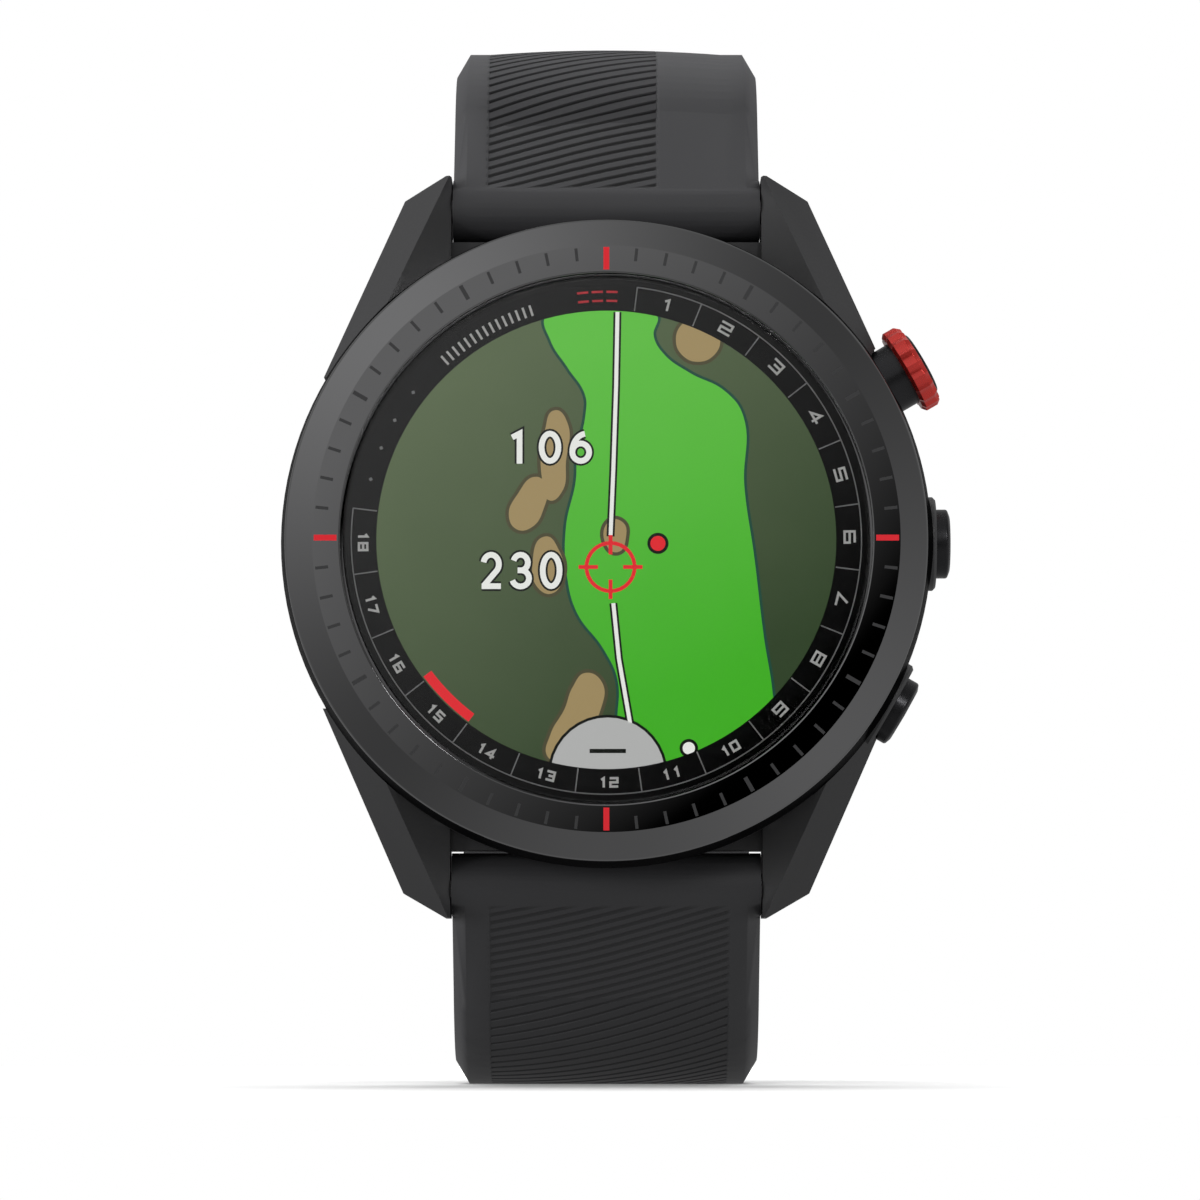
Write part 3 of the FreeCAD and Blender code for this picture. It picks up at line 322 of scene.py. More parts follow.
POLYMER = moulded_polymer()
BACK_POLYMER = satin_back()
BEZEL_STEEL = coated_bezel()
RED = red_anodised()
BLACK = black_anodised()
GLASS = clear_glass()
SENSOR_GLASS = tinted_glass()
STEEL = brushed_metal("brushed_stainless", "#a9a9aa", 0.3)
DARK_STEEL = brushed_metal("dark_coated_stainless", "#4b4b4e", 0.32)
GOLD = brushed_metal("gold_plated_contacts", "#e0bb6a", 0.2)
FOIL = brushed_metal("battery_foil", "#b9bbbd", 0.35, stretch=(1, 1, 1), size_mm=2)
BRASS = brushed_metal("brass_disc", "#c9a765", 0.28)
BOARD = printed("solder_mask", "#0f3a26")
FILM = printed("amber_circuit_film", "#a8601a")
CHIP = printed("moulded_chip", "#1a1a1b")
RUBBER = printed("black_seal_rubber", "#141414")
RING_INK = printed("dial_black_ink", "#0a0a0b", shine=0.08)
TICK_INK = printed("grey_tick_ink", "#3c3c3d")
# The red ticks, pale numbers, grey lines and red marks below carry a painted glow: a weak emission that
# brightens the inks.
TICK_RED = printed("red_tick_ink_painted_glow", "#d8202c", 0.25)
NUMBER_INK = printed("pale_number_ink_painted_glow", "#c9c9c7", 0.18)
LINE_INK = printed("grey_line_ink_painted_glow", "#8f9090", 0.1)
RED_INK = printed("red_mark_ink_painted_glow", "#cf2430", 0.25)

CAD_FINISHES = {
    "case": POLYMER, "bezel": BEZEL_STEEL, "bezel_gasket": RUBBER, "lens": GLASS, "lens_adhesive": RUBBER,
    "number_ring": RING_INK, "display_panel": CHIP, "display_tray": POLYMER, "display_flex": FILM,
    "battery": FOIL, "battery_tape": RUBBER, "chassis": POLYMER, "main_board": BOARD, "shield_can": STEEL,
    "gps_module": CHIP, "memory_chip": CHIP, "board_screws": DARK_STEEL, "vibration_motor": STEEL,
    "buzzer": BRASS, "gps_antenna": STEEL, "button_board": FILM, "button_switches": STEEL,
    "button_barrels": STEEL, "start_core": BLACK, "start_ring": RED, "back_cover": BACK_POLYMER,
    "back_gasket": RUBBER, "back_screws": DARK_STEEL, "sensor_window": SENSOR_GLASS, "sensor_board": BOARD,
    "sensor_lights": GLASS, "charge_insulator": RUBBER, "charge_contacts": GOLD, "lug_bars": STEEL,
    "hook_upper": STEEL, "hook_lower": STEEL, "latch_upper": DARK_STEEL, "latch_lower": DARK_STEEL,
    "buckle_frame": DARK_STEEL, "buckle_bar": STEEL, "buckle_tongue": DARK_STEEL,
}
ENDINGS = {"_clip": STEEL, "_seal": RUBBER, "_stem": STEEL, "_cap": BLACK}


def finish_cad_nodes():
    """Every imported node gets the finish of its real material."""
    plain = silicone("plain_silicone", None)
    for name, node in NODES.items():
        finish = CAD_FINISHES.get(name, plain)
        for ending, material in ENDINGS.items():
            if name.endswith(ending):
                finish = material
        node.data.materials.clear()
        node.data.materials.append(finish)


# ------------------------------------------------------------------ building pieces
def to_piece(name, mesh, material, body, stands_for=(), smooth_angle=35):
    """Make a shown piece of a finished mesh and let it ride on its body."""
    piece = bpy.data.objects.new(name, mesh)
    bpy.context.scene.collection.objects.link(piece)
    mesh.materials.clear()
    mesh.materials.append(material)
    mesh.shade_smooth()
    mesh.set_sharp_from_angle(angle=math.radians(smooth_angle))
    even = piece.modifiers.new("even_normals", "WEIGHTED_NORMAL")
    even.keep_sharp = True
    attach(piece, body)
    if stands_for:
        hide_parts(*stands_for)
    return piece


def mesh_from(work, name):
    """Close a bmesh into a mesh with its faces outwards."""
    bmesh.ops.remove_doubles(work, verts=work.verts, dist=1e-7)
    bmesh.ops.recalc_face_normals(work, faces=work.faces)
    mesh = bpy.data.meshes.new(name)
    work.to_mesh(mesh)
    work.free()
    return mesh


def rounded(points, closed=True):
    """Points (radius, depth, corner) in mm with each corner rounded to its own radius."""
    path = []
    count = len(points)
    for i, (x, y, corner) in enumerate(points):
        here = Vector((x, y))
        if not corner:
            path.append(here)
            continue
        before = (Vector(points[i - 1][:2]) - here).normalized()
        after = (Vector(points[(i + 1) % count][:2]) - here).normalized()
        half = before.angle(after) / 2
        reach = corner / math.tan(half)
        centre = here + (before + after).normalized() * (corner / math.sin(half))
        first = here + before * reach - centre
        last = here + after * reach - centre
        turn = first.angle_signed(last)
        for step in range(9):
            path.append(centre + Matrix.Rotation(-turn * step / 8, 2) @ first)
    return path


def spun(name, points, steps=180):
    """A ring or disc turned about the dial axis from a closed outline in mm."""
    work = bmesh.new()
    path = rounded(points)
    verts = [work.verts.new(dial(p.x, 0, p.y)) for p in path]
    edges = []
    for i, vert in enumerate(verts):
        nxt = verts[(i + 1) % len(verts)]
        if abs(vert.co.x - DIAL.x) < 1e-9 and abs(nxt.co.x - DIAL.x) < 1e-9:
            continue
        edges.append(work.edges.new((vert, nxt)))
    bmesh.ops.spin(work, geom=verts + edges, cent=DIAL, axis=(0, 1, 0), angle=2 * math.pi, steps=steps,
                   use_merge=True, use_normal_flip=False, use_duplicate=False)
    return mesh_from(work, name)


def turned_button(name, clock_angle, points, steps=64):
    """A turned piece about a button's axis: points are (radius, distance along the axis, corner) in mm."""
    work = bmesh.new()
    path = rounded(points)
    depth = (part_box("middle_cap")[0][1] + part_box("middle_cap")[1][1]) / 2
    origin = Vector((DIAL.x, depth, DIAL.z))
    outward = Vector((math.sin(math.radians(clock_angle)), 0, math.cos(math.radians(clock_angle))))
    side = Vector((0, 1, 0))
    verts = [work.verts.new(origin + outward * p.y * MM + side * p.x * MM) for p in path]
    edges = []
    for i, vert in enumerate(verts):
        nxt = verts[(i + 1) % len(verts)]
        if path[i].x < 1e-6 and path[(i + 1) % len(path)].x < 1e-6:
            continue
        edges.append(work.edges.new((vert, nxt)))
    bmesh.ops.spin(work, geom=verts + edges, cent=origin, axis=outward, angle=2 * math.pi, steps=steps,
                   use_merge=True, use_normal_flip=False, use_duplicate=False)
    return mesh_from(work, name)


def plate(work, centre, width, height, thick, turn=0.0, depth=0.0):
    """Add a thin block on the dial: centre (x, z), size in mm, turned by a clock angle."""
    made = bmesh.ops.create_cube(work, size=1.0)["verts"]
    bmesh.ops.scale(work, verts=made, vec=(width * MM, thick * MM, height * MM))
    bmesh.ops.rotate(work, verts=made, cent=(0, 0, 0), matrix=Matrix.Rotation(math.radians(turn), 3, "Y"))
    bmesh.ops.translate(work, verts=made, vec=dial(centre[0], centre[1], depth + thick / 2))


def arc_strip(work, radius, width, start, end, depth, thick=0.01):
    """Add a thin curved band on the dial between two clock angles."""
    x, z = clock(start, radius - width / 2)
    x2, z2 = clock(start, radius + width / 2)
    corners = [dial(x, z, depth), dial(x2, z2, depth), dial(x2, z2, depth + thick), dial(x, z, depth + thick)]
    verts = [work.verts.new(corner) for corner in corners]
    face = work.faces.new(verts)
    steps = max(4, int(abs(end - start) / 2))
    bmesh.ops.spin(work, geom=[face], cent=DIAL, axis=(0, 1, 0), angle=math.radians(end - start), steps=steps,
                   use_merge=False, use_normal_flip=False, use_duplicate=False)


# ------------------------------------------------------------------ bezel, marks and lens
def make_bezel():
    """Bevelled ring with softly broken edges."""
    mesh = spun("bezel_ring", [
        (WINDOW_RADIUS, 0, 0.12), (FLAT_RADIUS, 0, 0), (BEZEL_RADIUS, 1.2, 0.4),
        (BEZEL_RADIUS, BEZEL_DEPTH - 0.02, 0.1), (WINDOW_RADIUS - 0.5, BEZEL_DEPTH - 0.02, 0),
        (WINDOW_RADIUS - 0.5, 1.98, 0), (WINDOW_RADIUS, 1.98, 0),
    ], steps=240)
    to_piece("bezel_ring", mesh, BEZEL_STEEL, "module", ("bezel",), 12)


def make_ticks():
    """Sixty minute marks on the flat of the bezel, the quarters in red."""
    grey = bmesh.new()
    red = bmesh.new()
    for minute in range(60):
        angle = minute * 6
        quarter = minute % 15 == 0
        hour = minute % 5 == 0
        inner = FLAT_RADIUS - (1.75 if quarter else 1.25 if hour else 1.05)
        outer = FLAT_RADIUS - 0.12
        width = 0.42 if quarter else 0.3 if hour else 0.22
        centre = clock(angle, (inner + outer) / 2)
        plate(red if quarter else grey, centre, width, outer - inner, 0.03, angle, -0.012)
    to_piece("minute_marks", mesh_from(grey, "minute_marks"), TICK_INK, "module")
    to_piece("quarter_marks", mesh_from(red, "quarter_marks"), TICK_RED, "module")


def make_lens():
    """Cover glass with a ground edge, set a little below the bezel."""
    edge = WINDOW_RADIUS - 0.16
    mesh = spun("cover_glass", [
        (0, 0.25, 0), (edge - 0.1, 0.25, 0.03), (edge, 0.35, 0.03), (edge, 1.7, 0.05), (0, 1.7, 0),
    ])
    to_piece("cover_glass", mesh, GLASS, "module", ("lens",))
    border = spun("printed_border", [(18.36, 1.71, 0), (18.88, 1.71, 0), (18.88, 1.74, 0), (18.36, 1.74, 0)])
    to_piece("printed_border", border, RING_INK, "module")


# ------------------------------------------------------------------ figures
def bow(x, z, across, up, start, end, steps=14):
    """Points on an oval between two angles in degrees, counter-clockwise from 3 o'clock."""
    turns = [math.radians(start + (end - start) * i / steps) for i in range(steps + 1)]
    return [(x + across * math.cos(turn), z + up * math.sin(turn)) for turn in turns]


FRAME = [(0, 0), (1, 0), (1, 1), (0, 1), (0, 0)]
# The middle lines of each figure, in a box one wide and one tall.
SQUARE_FIGURES = {
    "0": [FRAME], "1": [[(0.25, 0.8), (0.6, 1), (0.6, -0.1)]],
    "2": [[(-0.1, 1), (1, 1), (1, 0.5), (0, 0.5), (0, 0), (1.1, 0)]],
    "3": [[(-0.1, 1), (1, 1), (1, 0), (-0.1, 0)], [(0.2, 0.5), (1, 0.5)]],
    "4": [[(0.75, -0.1), (0.75, 1), (0, 0.25), (1.15, 0.25)]],
    "5": [[(1.1, 1), (0, 1), (0, 0.5), (1, 0.5), (1, 0), (-0.1, 0)]],
    "6": [[(1.0, 1), (0, 1), (0, 0), (1, 0), (1, 0.5), (0, 0.5)]],
    "7": [[(-0.1, 1), (1, 1), (0.35, -0.1)]],
    "8": [FRAME, [(0, 0.5), (1, 0.5)]],
    "9": [[(0.0, 0), (1, 0), (1, 1), (0, 1), (0, 0.5), (1, 0.5)]],
}
ROUND_FIGURES = {
    "0": [bow(0.5, 0.5, 0.5, 0.5, 0, 360, 28)],
    "1": [[(0.08, 0.86), (0.52, 1.0), (0.52, -0.1)]],
    "2": [bow(0.48, 0.7, 0.46, 0.3, 168, -38) + [(0.06, 0.02)], [(-0.08, 0), (1.06, 0)]],
    "3": [bow(0.46, 0.75, 0.43, 0.25, 165, -88), bow(0.46, 0.25, 0.5, 0.26, 88, -165), [(0.28, 0.505),
                                                                                        (0.55, 0.505)]],
    "6": [bow(0.5, 0.32, 0.5, 0.32, 0, 360, 24), bow(0.85, 0.33, 0.85, 0.67, 97, 180)],
}


def stroke(work, path, line, place, closed):
    """Add a flat line of even width along a path, with mitred corners."""
    count = len(path)
    rows = []
    for i, point in enumerate(path):
        here = Vector(point)
        ahead = Vector(path[(i + 1) % count]) - here
        behind = here - Vector(path[i - 1])
        if not closed and i == 0:
            behind = ahead
        if not closed and i == count - 1:
            ahead = behind
        along = (ahead.normalized() + behind.normalized()).normalized()
        side = Vector((-along.y, along.x)) * line / 2 / max(along.dot(ahead.normalized()), 0.4)
        rows.append([work.verts.new(place(*(here + side))), work.verts.new(place(*(here - side)))])
    after = rows[1:] + rows[:1] if closed else rows[1:]
    for near, far in zip(rows, after):
        work.faces.new((near[0], near[1], far[1], far[0]))


def figures(work, words, table, size, gap, line, place):
    """Add a row of figures drawn as lines of even width, centred on their own origin."""
    wide, tall = size
    reach = len(words) * wide + (len(words) - 1) * gap
    for i, letter in enumerate(words):
        left = i * (wide + gap) - reach / 2
        for path in table[letter]:
            points = [(left + x * wide, (z - 0.5) * tall) for x, z in path]
            closed = Vector(path[0]) == Vector(path[-1]) or letter in "06" and len(path) > 20
            stroke(work, points[:-1] if closed else points, line, place, closed)


def on_dial(centre, spin, depth):
    """The way from a figure's own x and z, in mm, to its place on the dial, turned by a clock angle."""
    turn = Matrix.Rotation(math.radians(-spin), 2)
    return lambda x, z: dial(*(Vector(centre) + turn @ Vector((x, z))), depth)


def thicken(work, thick):
    """Give flat figures a thickness towards the back."""
    made = bmesh.ops.extrude_face_region(work, geom=work.faces[:])["geom"]
    verts = [item for item in made if isinstance(item, bmesh.types.BMVert)]
    bmesh.ops.translate(work, verts=verts, vec=(0, thick * MM, 0))


# ------------------------------------------------------------------ number ring
FIRST_CELL = 7
CELL = 15


def make_number_ring():
    """Eighteen numbered cells round the display, split by fine lines."""
    numbers = bmesh.new()
    depth = RING_DEPTH - 0.04
    for hole in range(1, 19):
        angle = FIRST_CELL + CELL * (hole - 0.5)
        size, gap = ((0.8, 0.72), 0.0) if hole < 10 else ((0.5, 0.6), 0.28)
        place = on_dial(clock(angle, 17.45), angle if hole <= 6 else angle + 180, depth)
        figures(numbers, str(hole), SQUARE_FIGURES, size, gap, 0.17, place)
    thicken(numbers, 0.012)
    to_piece("hole_numbers", mesh_from(numbers, "hole_numbers"), NUMBER_INK, "module")
    lines = bmesh.new()
    for cell in range(19):
        angle = FIRST_CELL + CELL * cell
        plate(lines, clock(angle, 17.45), 0.09, 1.75, 0.012, angle, depth)
    arc_strip(lines, 18.3, 0.09, FIRST_CELL, FIRST_CELL + CELL * 18, depth)
    for angle in (284.3, 292.1, 299.4, 307.3):
        plate(lines, clock(angle, 17.45), 0.22, 0.22, 0.012, angle + 45, depth)
    to_piece("ring_lines", mesh_from(lines, "ring_lines"), LINE_INK, "module")
    bars = bmesh.new()
    for step in range(15):
        angle = 318 + 1.7 * step
        plate(bars, clock(angle, 17.35), 0.17, 0.8, 0.012, angle, depth)
    to_piece("ring_bars", mesh_from(bars, "ring_bars"), NUMBER_INK, "module")
    marks = bmesh.new()
    for start in (353.2, 356.6, 360.0):
        for radius in (17.2, 17.85):
            arc_strip(marks, radius, 0.16, start, start + 2.6, depth)
    to_piece("ring_red_marks", mesh_from(marks, "ring_red_marks"), RED_INK, "module")


# ------------------------------------------------------------------ display picture
LAYER = 0.012


def flat_shape(name, outline, layer, material, grow=0.0, smooth=True):
    """A smooth filled shape on the display, from a few points in mm, on its own thin layer."""
    curve = bpy.data.curves.new(name, "CURVE")
    curve.dimensions = "2D"
    curve.fill_mode = "BOTH"
    curve.resolution_u = 10
    curve.offset = grow * MM
    spline = curve.splines.new("BEZIER" if smooth else "POLY")
    if smooth:
        spline.bezier_points.add(len(outline) - 1)
        for point, (x, z) in zip(spline.bezier_points, outline):
            point.co = (x * MM, z * MM, 0)
            point.handle_left_type = "AUTO"
            point.handle_right_type = "AUTO"
    else:
        spline.points.add(len(outline) - 1)
        for point, (x, z) in zip(spline.points, outline):
            point.co = (x * MM, z * MM, 0, 1)
    spline.use_cyclic_u = True
    curve.extrude = LAYER * 0.3 * MM
    item = bpy.data.objects.new(name, curve)
    bpy.context.scene.collection.objects.link(item)
    bpy.context.view_layer.update()
    mesh = bpy.data.meshes.new_from_object(item)
    bpy.data.objects.remove(item)
    turn = Matrix.Rotation(math.radians(90), 4, "X")
    mesh.transform(Matrix.Translation(dial(0, 0, PANEL_DEPTH - LAYER * layer)) @ turn)
    work = bmesh.new()
    work.from_mesh(mesh)
    clip_to_display(work)
    return to_piece(name, mesh_from(work, name), material, "module")


def clip_to_display(work):
    """Trim a flat shape to the round edge of the display."""
    for step in range(72):
        angle = math.radians(step * 5)
        out = Vector((math.sin(angle), 0, math.cos(angle)))
        geometry = work.verts[:] + work.edges[:] + work.faces[:]
        bmesh.ops.bisect_plane(work, geom=geometry, plane_co=DIAL + out * DISPLAY_RADIUS * MM, plane_no=out,
                               clear_outer=True)


def line_points(path, width):
    """The outline of a line of even width along a path of points in mm."""
    left = []
    right = []
    for i, point in enumerate(path):
        here = Vector(point)
        before = Vector(path[max(i - 1, 0)])
        after = Vector(path[min(i + 1, len(path) - 1)])
        ahead = (after - before).normalized()
        side = Vector((-ahead.y, ahead.x)) * width / 2
        left.append(tuple(here + side))
        right.append(tuple(here - side))
    return left + right[::-1]


def circle_points(centre, radius, count=16):
    return [(centre[0] + radius * math.cos(2 * math.pi * i / count),
             centre[1] + radius * math.sin(2 * math.pi * i / count)) for i in range(count)]


FAIRWAY_LEFT = [(-4.3, 16.2), (-4.0, 14.3), (-2.8, 12.4), (-1.5, 10.3), (-1.5, 9.0), (-2.1, 6.1), (-2.2, 4.2),
                (-2.9, 0.9), (-2.8, -2.8), (-2.1, -5.3), (-0.2, -7.9), (0.8, -10.1), (0.8, -13.5), (1.4, -17)]
FAIRWAY_RIGHT = [(3.6, 16.2), (3.4, 14.7), (4.1, 13.4), (6.0, 12.0), (8.5, 10.7), (9.8, 9.0), (9.9, 3.9),
                 (10.6, -1.2), (11.3, -7.1), (11.9, -11.0), (12.0, -14)]
BUNKERS = {
    "round": circle_points((6.6, 14.4), 1.6, 8),
    "long": [(-3.7, 9.3), (-2.8, 8.4), (-2.9, 5.6), (-3.2, 3.4), (-4.1, 2.8), (-4.6, 4.2), (-4.4, 7.9)],
    "left": [(-5.0, 4.5), (-4.3, 3.7), (-4.5, 2.2), (-5.3, 0.9), (-6.4, 0.7), (-7.0, 1.7), (-6.4, 3.2)],
    "low": [(-4.4, 0.2), (-3.4, -0.8), (-3.1, -2.6), (-3.9, -3.9), (-4.9, -3.5), (-5.3, -1.8)],
    "tail": [(-1.5, -9.6), (-0.3, -10.3), (-0.4, -12.2), (-1.6, -14.2), (-3.2, -15.9), (-4.2, -15.6),
             (-4.0, -14.0), (-3.0, -12.2), (-2.4, -10.6)],
    "small": [(0.2, 1.3), (1.2, 1.2), (1.4, 0.1), (0.9, -0.9), (0.1, -0.6)],
}
AIM = [(0.8, 16.4), (0.7, 11), (0.5, 5), (0.3, 0.2)]
AIM_LOW = [(0.5, -4.6), (0.9, -8.6), (1.7, -13.2)]


def make_display():
    """The lit map: rough ground, fairway, bunkers, aim line, reticle, two distances and a menu button."""
    ground = lit_gradient("lit_rough_green", "#5a694b", "#32442a", (0.6, -0.8), 17)
    fairway = lit_gradient("lit_fairway_green", "#60bd43", "#41ae25", (0.2, -1.0), 14)
    edge = lit("lit_teal_edge", "#1f4a3c")
    sand = lit("lit_sand", "#9f8b60")
    halo = lit("lit_sand_edge", "#4d4a34")
    white = lit("lit_white", "#e9ebe6", 1.0)
    black = lit("lit_black", "#0b0f0a")
    red = lit("lit_red", "#e0262f", 1.0)
    flat_shape("map_ground", circle_points((0, 0), DISPLAY_RADIUS, 48), 1, ground)
    outline = FAIRWAY_LEFT + FAIRWAY_RIGHT[::-1]
    flat_shape("map_fairway_edge", outline, 2, edge, grow=0.2)
    flat_shape("map_fairway", outline, 3, fairway)
    for name, points in BUNKERS.items():
        flat_shape(f"map_sand_edge_{name}", points, 4, halo, grow=0.25)
        flat_shape(f"map_sand_{name}", points, 5, sand)
    for name, path in (("upper", AIM), ("lower", AIM_LOW)):
        flat_shape(f"aim_edge_{name}", line_points(path, 0.58), 6, black, smooth=False)
        flat_shape(f"aim_line_{name}", line_points(path, 0.28), 7, white, smooth=False)
    make_reticle((0.3, -2.0), red)
    flat_shape("target_edge", circle_points((3.7, -0.3), 0.76), 6, black)
    flat_shape("target_dot", circle_points((3.7, -0.3), 0.54), 7, red)
    make_distance("106", (-4.05, 6.62), 1.97, 2.21, white, black)
    make_distance("230", (-6.1, -2.25), 2.26, 2.14, white, black)
    half_disc = [clock(angle, 4.1) for angle in range(-90, 91, 10)]
    disc = [(x + 0.1, z - 16.9) for x, z in half_disc]
    flat_shape("menu_edge", [(x + 0.1, z - 16.9) for x, z in [clock(a, 4.3) for a in range(-90, 91, 10)]],
               6, black, smooth=False)
    flat_shape("menu_button", disc, 7, lit("lit_pale_grey", "#b2b3b2"), smooth=False)
    flat_shape("menu_dash", line_points([(-1.2, -15.2), (1.4, -15.2)], 0.3), 8, black, smooth=False)
    flat_shape("pin_edge", circle_points((5.9, -15.0), 0.66), 6, black)
    flat_shape("pin_dot", circle_points((5.9, -15.0), 0.44), 7, white)
    arc = [clock(a, 16.4) for a in range(217, 234, 2)] + [clock(a, 15.7) for a in range(233, 216, -2)]
    flat_shape("hole_marker", arc, 7, red, smooth=False)


def make_reticle(centre, material):
    """Open ring with four short cross ticks."""
    work = bmesh.new()
    depth = PANEL_DEPTH - LAYER * 8
    for part in range(24):
        angle = part * 15
        x, z = clock(angle, 1.72)
        plate(work, (centre[0] + x, centre[1] + z), 0.46, 0.28, 0.008, angle, depth)
    for quarter in range(4):
        x, z = clock(quarter * 90, 1.6)
        plate(work, (centre[0] + x, centre[1] + z), 0.28, 1.4, 0.009, quarter * 90, depth - 0.002)
    to_piece("reticle", mesh_from(work, "reticle"), material, "module")


def make_distance(words, centre, tall, pitch, light, dark):
    """A distance in white figures with a dark rim."""
    wide = 1.21
    for name, material, line, layer in (("rim", dark, 0.7, 9), ("figures", light, 0.41, 10)):
        work = bmesh.new()
        place = on_dial(centre, 0, PANEL_DEPTH - LAYER * layer)
        figures(work, words, ROUND_FIGURES, (wide, tall), pitch - wide, line, place)
        thicken(work, 0.004)
        to_piece(f"distance_{words}_{name}", mesh_from(work, name), material, "module")


# ------------------------------------------------------------------ buttons
BUTTON_ANGLES = {"start": 60, "middle": 90, "lower": 120}


def make_caps():
    """Two plain turned caps with broken edges."""
    out = CASE_RADIUS
    for name in ("middle", "lower"):
        mesh = turned_button(f"{name}_cap", BUTTON_ANGLES[name], [
            (0, out - 0.4, 0), (2.5, out - 0.4, 0.1), (2.5, out + 1.15, 0.2), (2.0, out + 1.34, 0.3),
            (0, out + 1.4, 0),
        ])
        to_piece(f"{name}_button_cap", mesh, BLACK, f"{name}_button", (f"{name}_cap",), 50)


def make_start_button():
    """Knurled red ring on its black core."""
    out = CASE_RADIUS
    angle = BUTTON_ANGLES["start"]
    teeth = 20
    ring = turned_button("red_knurled_ring", angle, [
        (2.43, out + 1.3, 0), (2.95, out + 1.3, 0.1), (3.22, out + 1.52, 0.1),
        (3.22, out + 2.42, 0.1), (2.95, out + 2.74, 0.1), (2.43, out + 2.74, 0),
    ], steps=teeth * 6)
    depth = (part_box("middle_cap")[0][1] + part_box("middle_cap")[1][1]) / 2
    origin = Vector((DIAL.x, depth, DIAL.z))
    axis = Vector((math.sin(math.radians(angle)), 0, math.cos(math.radians(angle))))
    for vert in ring.vertices:
        along = (vert.co - origin).dot(axis)
        away = vert.co - origin - axis * along
        if away.length > 2.85 * MM:
            turn = math.atan2(away.dot(axis.cross(Vector((0, 1, 0)))), away.y)
            vert.co -= away.normalized() * 0.16 * MM * abs(math.sin(turn * teeth / 2))
    to_piece("red_knurled_ring", ring, RED, "start_button", ("start_ring",), 18)
    core = turned_button("start_core", angle, [
        (0, out - 4.4, 0), (0.88, out - 4.4, 0), (0.88, out - 0.5, 0), (2.4, out - 0.5, 0.1),
        (2.4, out + 3.04, 0.25), (2.0, out + 2.94, 0.1), (0, out + 2.94, 0),
    ])
    to_piece("start_button_core", core, BLACK, "start_button", ("start_core",), 50)


# ------------------------------------------------------------------ softened copies
def soften(node, name, body, material, width, smooth_angle=35):
    """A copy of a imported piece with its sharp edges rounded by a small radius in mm."""
    work = bmesh.new()
    work.from_mesh(NODES[node].data)
    bmesh.ops.remove_doubles(work, verts=work.verts, dist=2e-6)
    bmesh.ops.dissolve_limit(work, angle_limit=math.radians(1.0), verts=work.verts, edges=work.edges)
    sharp = [e for e in work.edges if len(e.link_faces) == 2 and e.calc_face_angle() > math.radians(28)]
    bmesh.ops.bevel(work, geom=sharp, offset=width * MM, segments=2, profile=0.5, affect="EDGES",
                    clamp_overlap=True)
    return to_piece(name, mesh_from(work, name), material, body, (node,), smooth_angle)


def make_strap_hardware():
    """Keepers, buckle frame, tongue and release catches with rounded edges."""
    rubber = silicone("keeper_silicone", None)
    soften("keeper_fixed", "fixed_keeper", "upper_band", rubber, 0.45)
    soften("keeper_free", "free_keeper", "free_loop", rubber, 0.45)
    soften("buckle_frame", "buckle_loop", "buckle", DARK_STEEL, 0.3)
    soften("buckle_tongue", "tongue", "tongue", DARK_STEEL, 0.2)
    soften("latch_upper", "upper_catch", "upper_latch", DARK_STEEL, 0.1)
    soften("latch_lower", "lower_catch", "lower_latch", DARK_STEEL, 0.1)


def make_case():
    """The case with finely broken edges, so that its facets catch the light along their borders."""
    soften("case", "case_shell", "module", POLYMER, 0.1, 30)


def screw_head(work, centre, radius, front, thick):
    """Add a screw head that faces the wrist, with a six-sided drive recess."""
    rings = [(0, thick * 0.5, False), (0.5, thick * 0.5, True), (0.5, 0, True), (0.88, 0, False),
             (1.0, thick * 0.16, False), (1.0, thick, False), (0, thick, False)]
    steps = 36
    rows = []
    for share, below, six_sided in rings:
        row = []
        for step in range(steps):
            angle = 360 * step / steps
            reach = radius * share
            if six_sided:
                reach /= math.cos(math.radians((angle + 30) % 60 - 30)) / math.cos(math.radians(30))
            x, z = clock(angle, reach)
            row.append(work.verts.new(dial(centre[0] + x, centre[1] + z, front - below)))
        rows.append(row)
    for near, far in zip(rows, rows[1:]):
        for step in range(steps):
            after = (step + 1) % steps
            corners = (near[step], near[after], far[after], far[step])
            work.faces.new(corners)


def make_back_screws():
    """The four cover screws, seen from the wrist side."""
    low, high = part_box("back_screws")
    front = (high.y - DIAL.y) / MM
    thick = (high.y - low.y) / MM
    radius = 1.15
    reach = (high.x - DIAL.x) / MM - radius
    work = bmesh.new()
    for across in (1, -1):
        for up in (1, -1):
            screw_head(work, (across * reach, up * reach), radius, front, thick)
    bmesh.ops.remove_doubles(work, verts=work.verts, dist=1e-7)
    to_piece("cover_screws", mesh_from(work, "cover_screws"), DARK_STEEL, "module", ("back_screws",))


# ------------------------------------------------------------------ strap
BAR_AXIS = Vector((9.0, 24.6))
RISE = math.radians(30)
UP_STRAP = Vector((math.sin(RISE), math.cos(RISE)))
OFF_STRAP = Vector((-math.cos(RISE), math.sin(RISE)))
BEND = 10.5
BEND_START = 150
BEND_END = 75.0
BEND_SWEEP = math.radians(75)
STRAIGHT = {1: 8.14, -1: 9.18}
SWEEP = {1: 45.0, -1: 34.0}
HALF_THICK = 1.3
LOOP_CENTRE = dial(0, 0, 28)
OFF_GROOVES = 1000
CROWN = 0.33
CROWN_HALF_WIDTH = 8.6
GROOVE_SAG = 0.004


def unit(degrees):
    return Vector((math.cos(math.radians(degrees)), math.sin(math.radians(degrees))))


def bend_centres(sign):
    """Centres of the tight bend and of the long sweep, as depth and height from the dial."""
    tight = BAR_AXIS + UP_STRAP * STRAIGHT[sign] - OFF_STRAP * BEND
    return tight, tight + unit(BEND_END) * (BEND - SWEEP[sign])


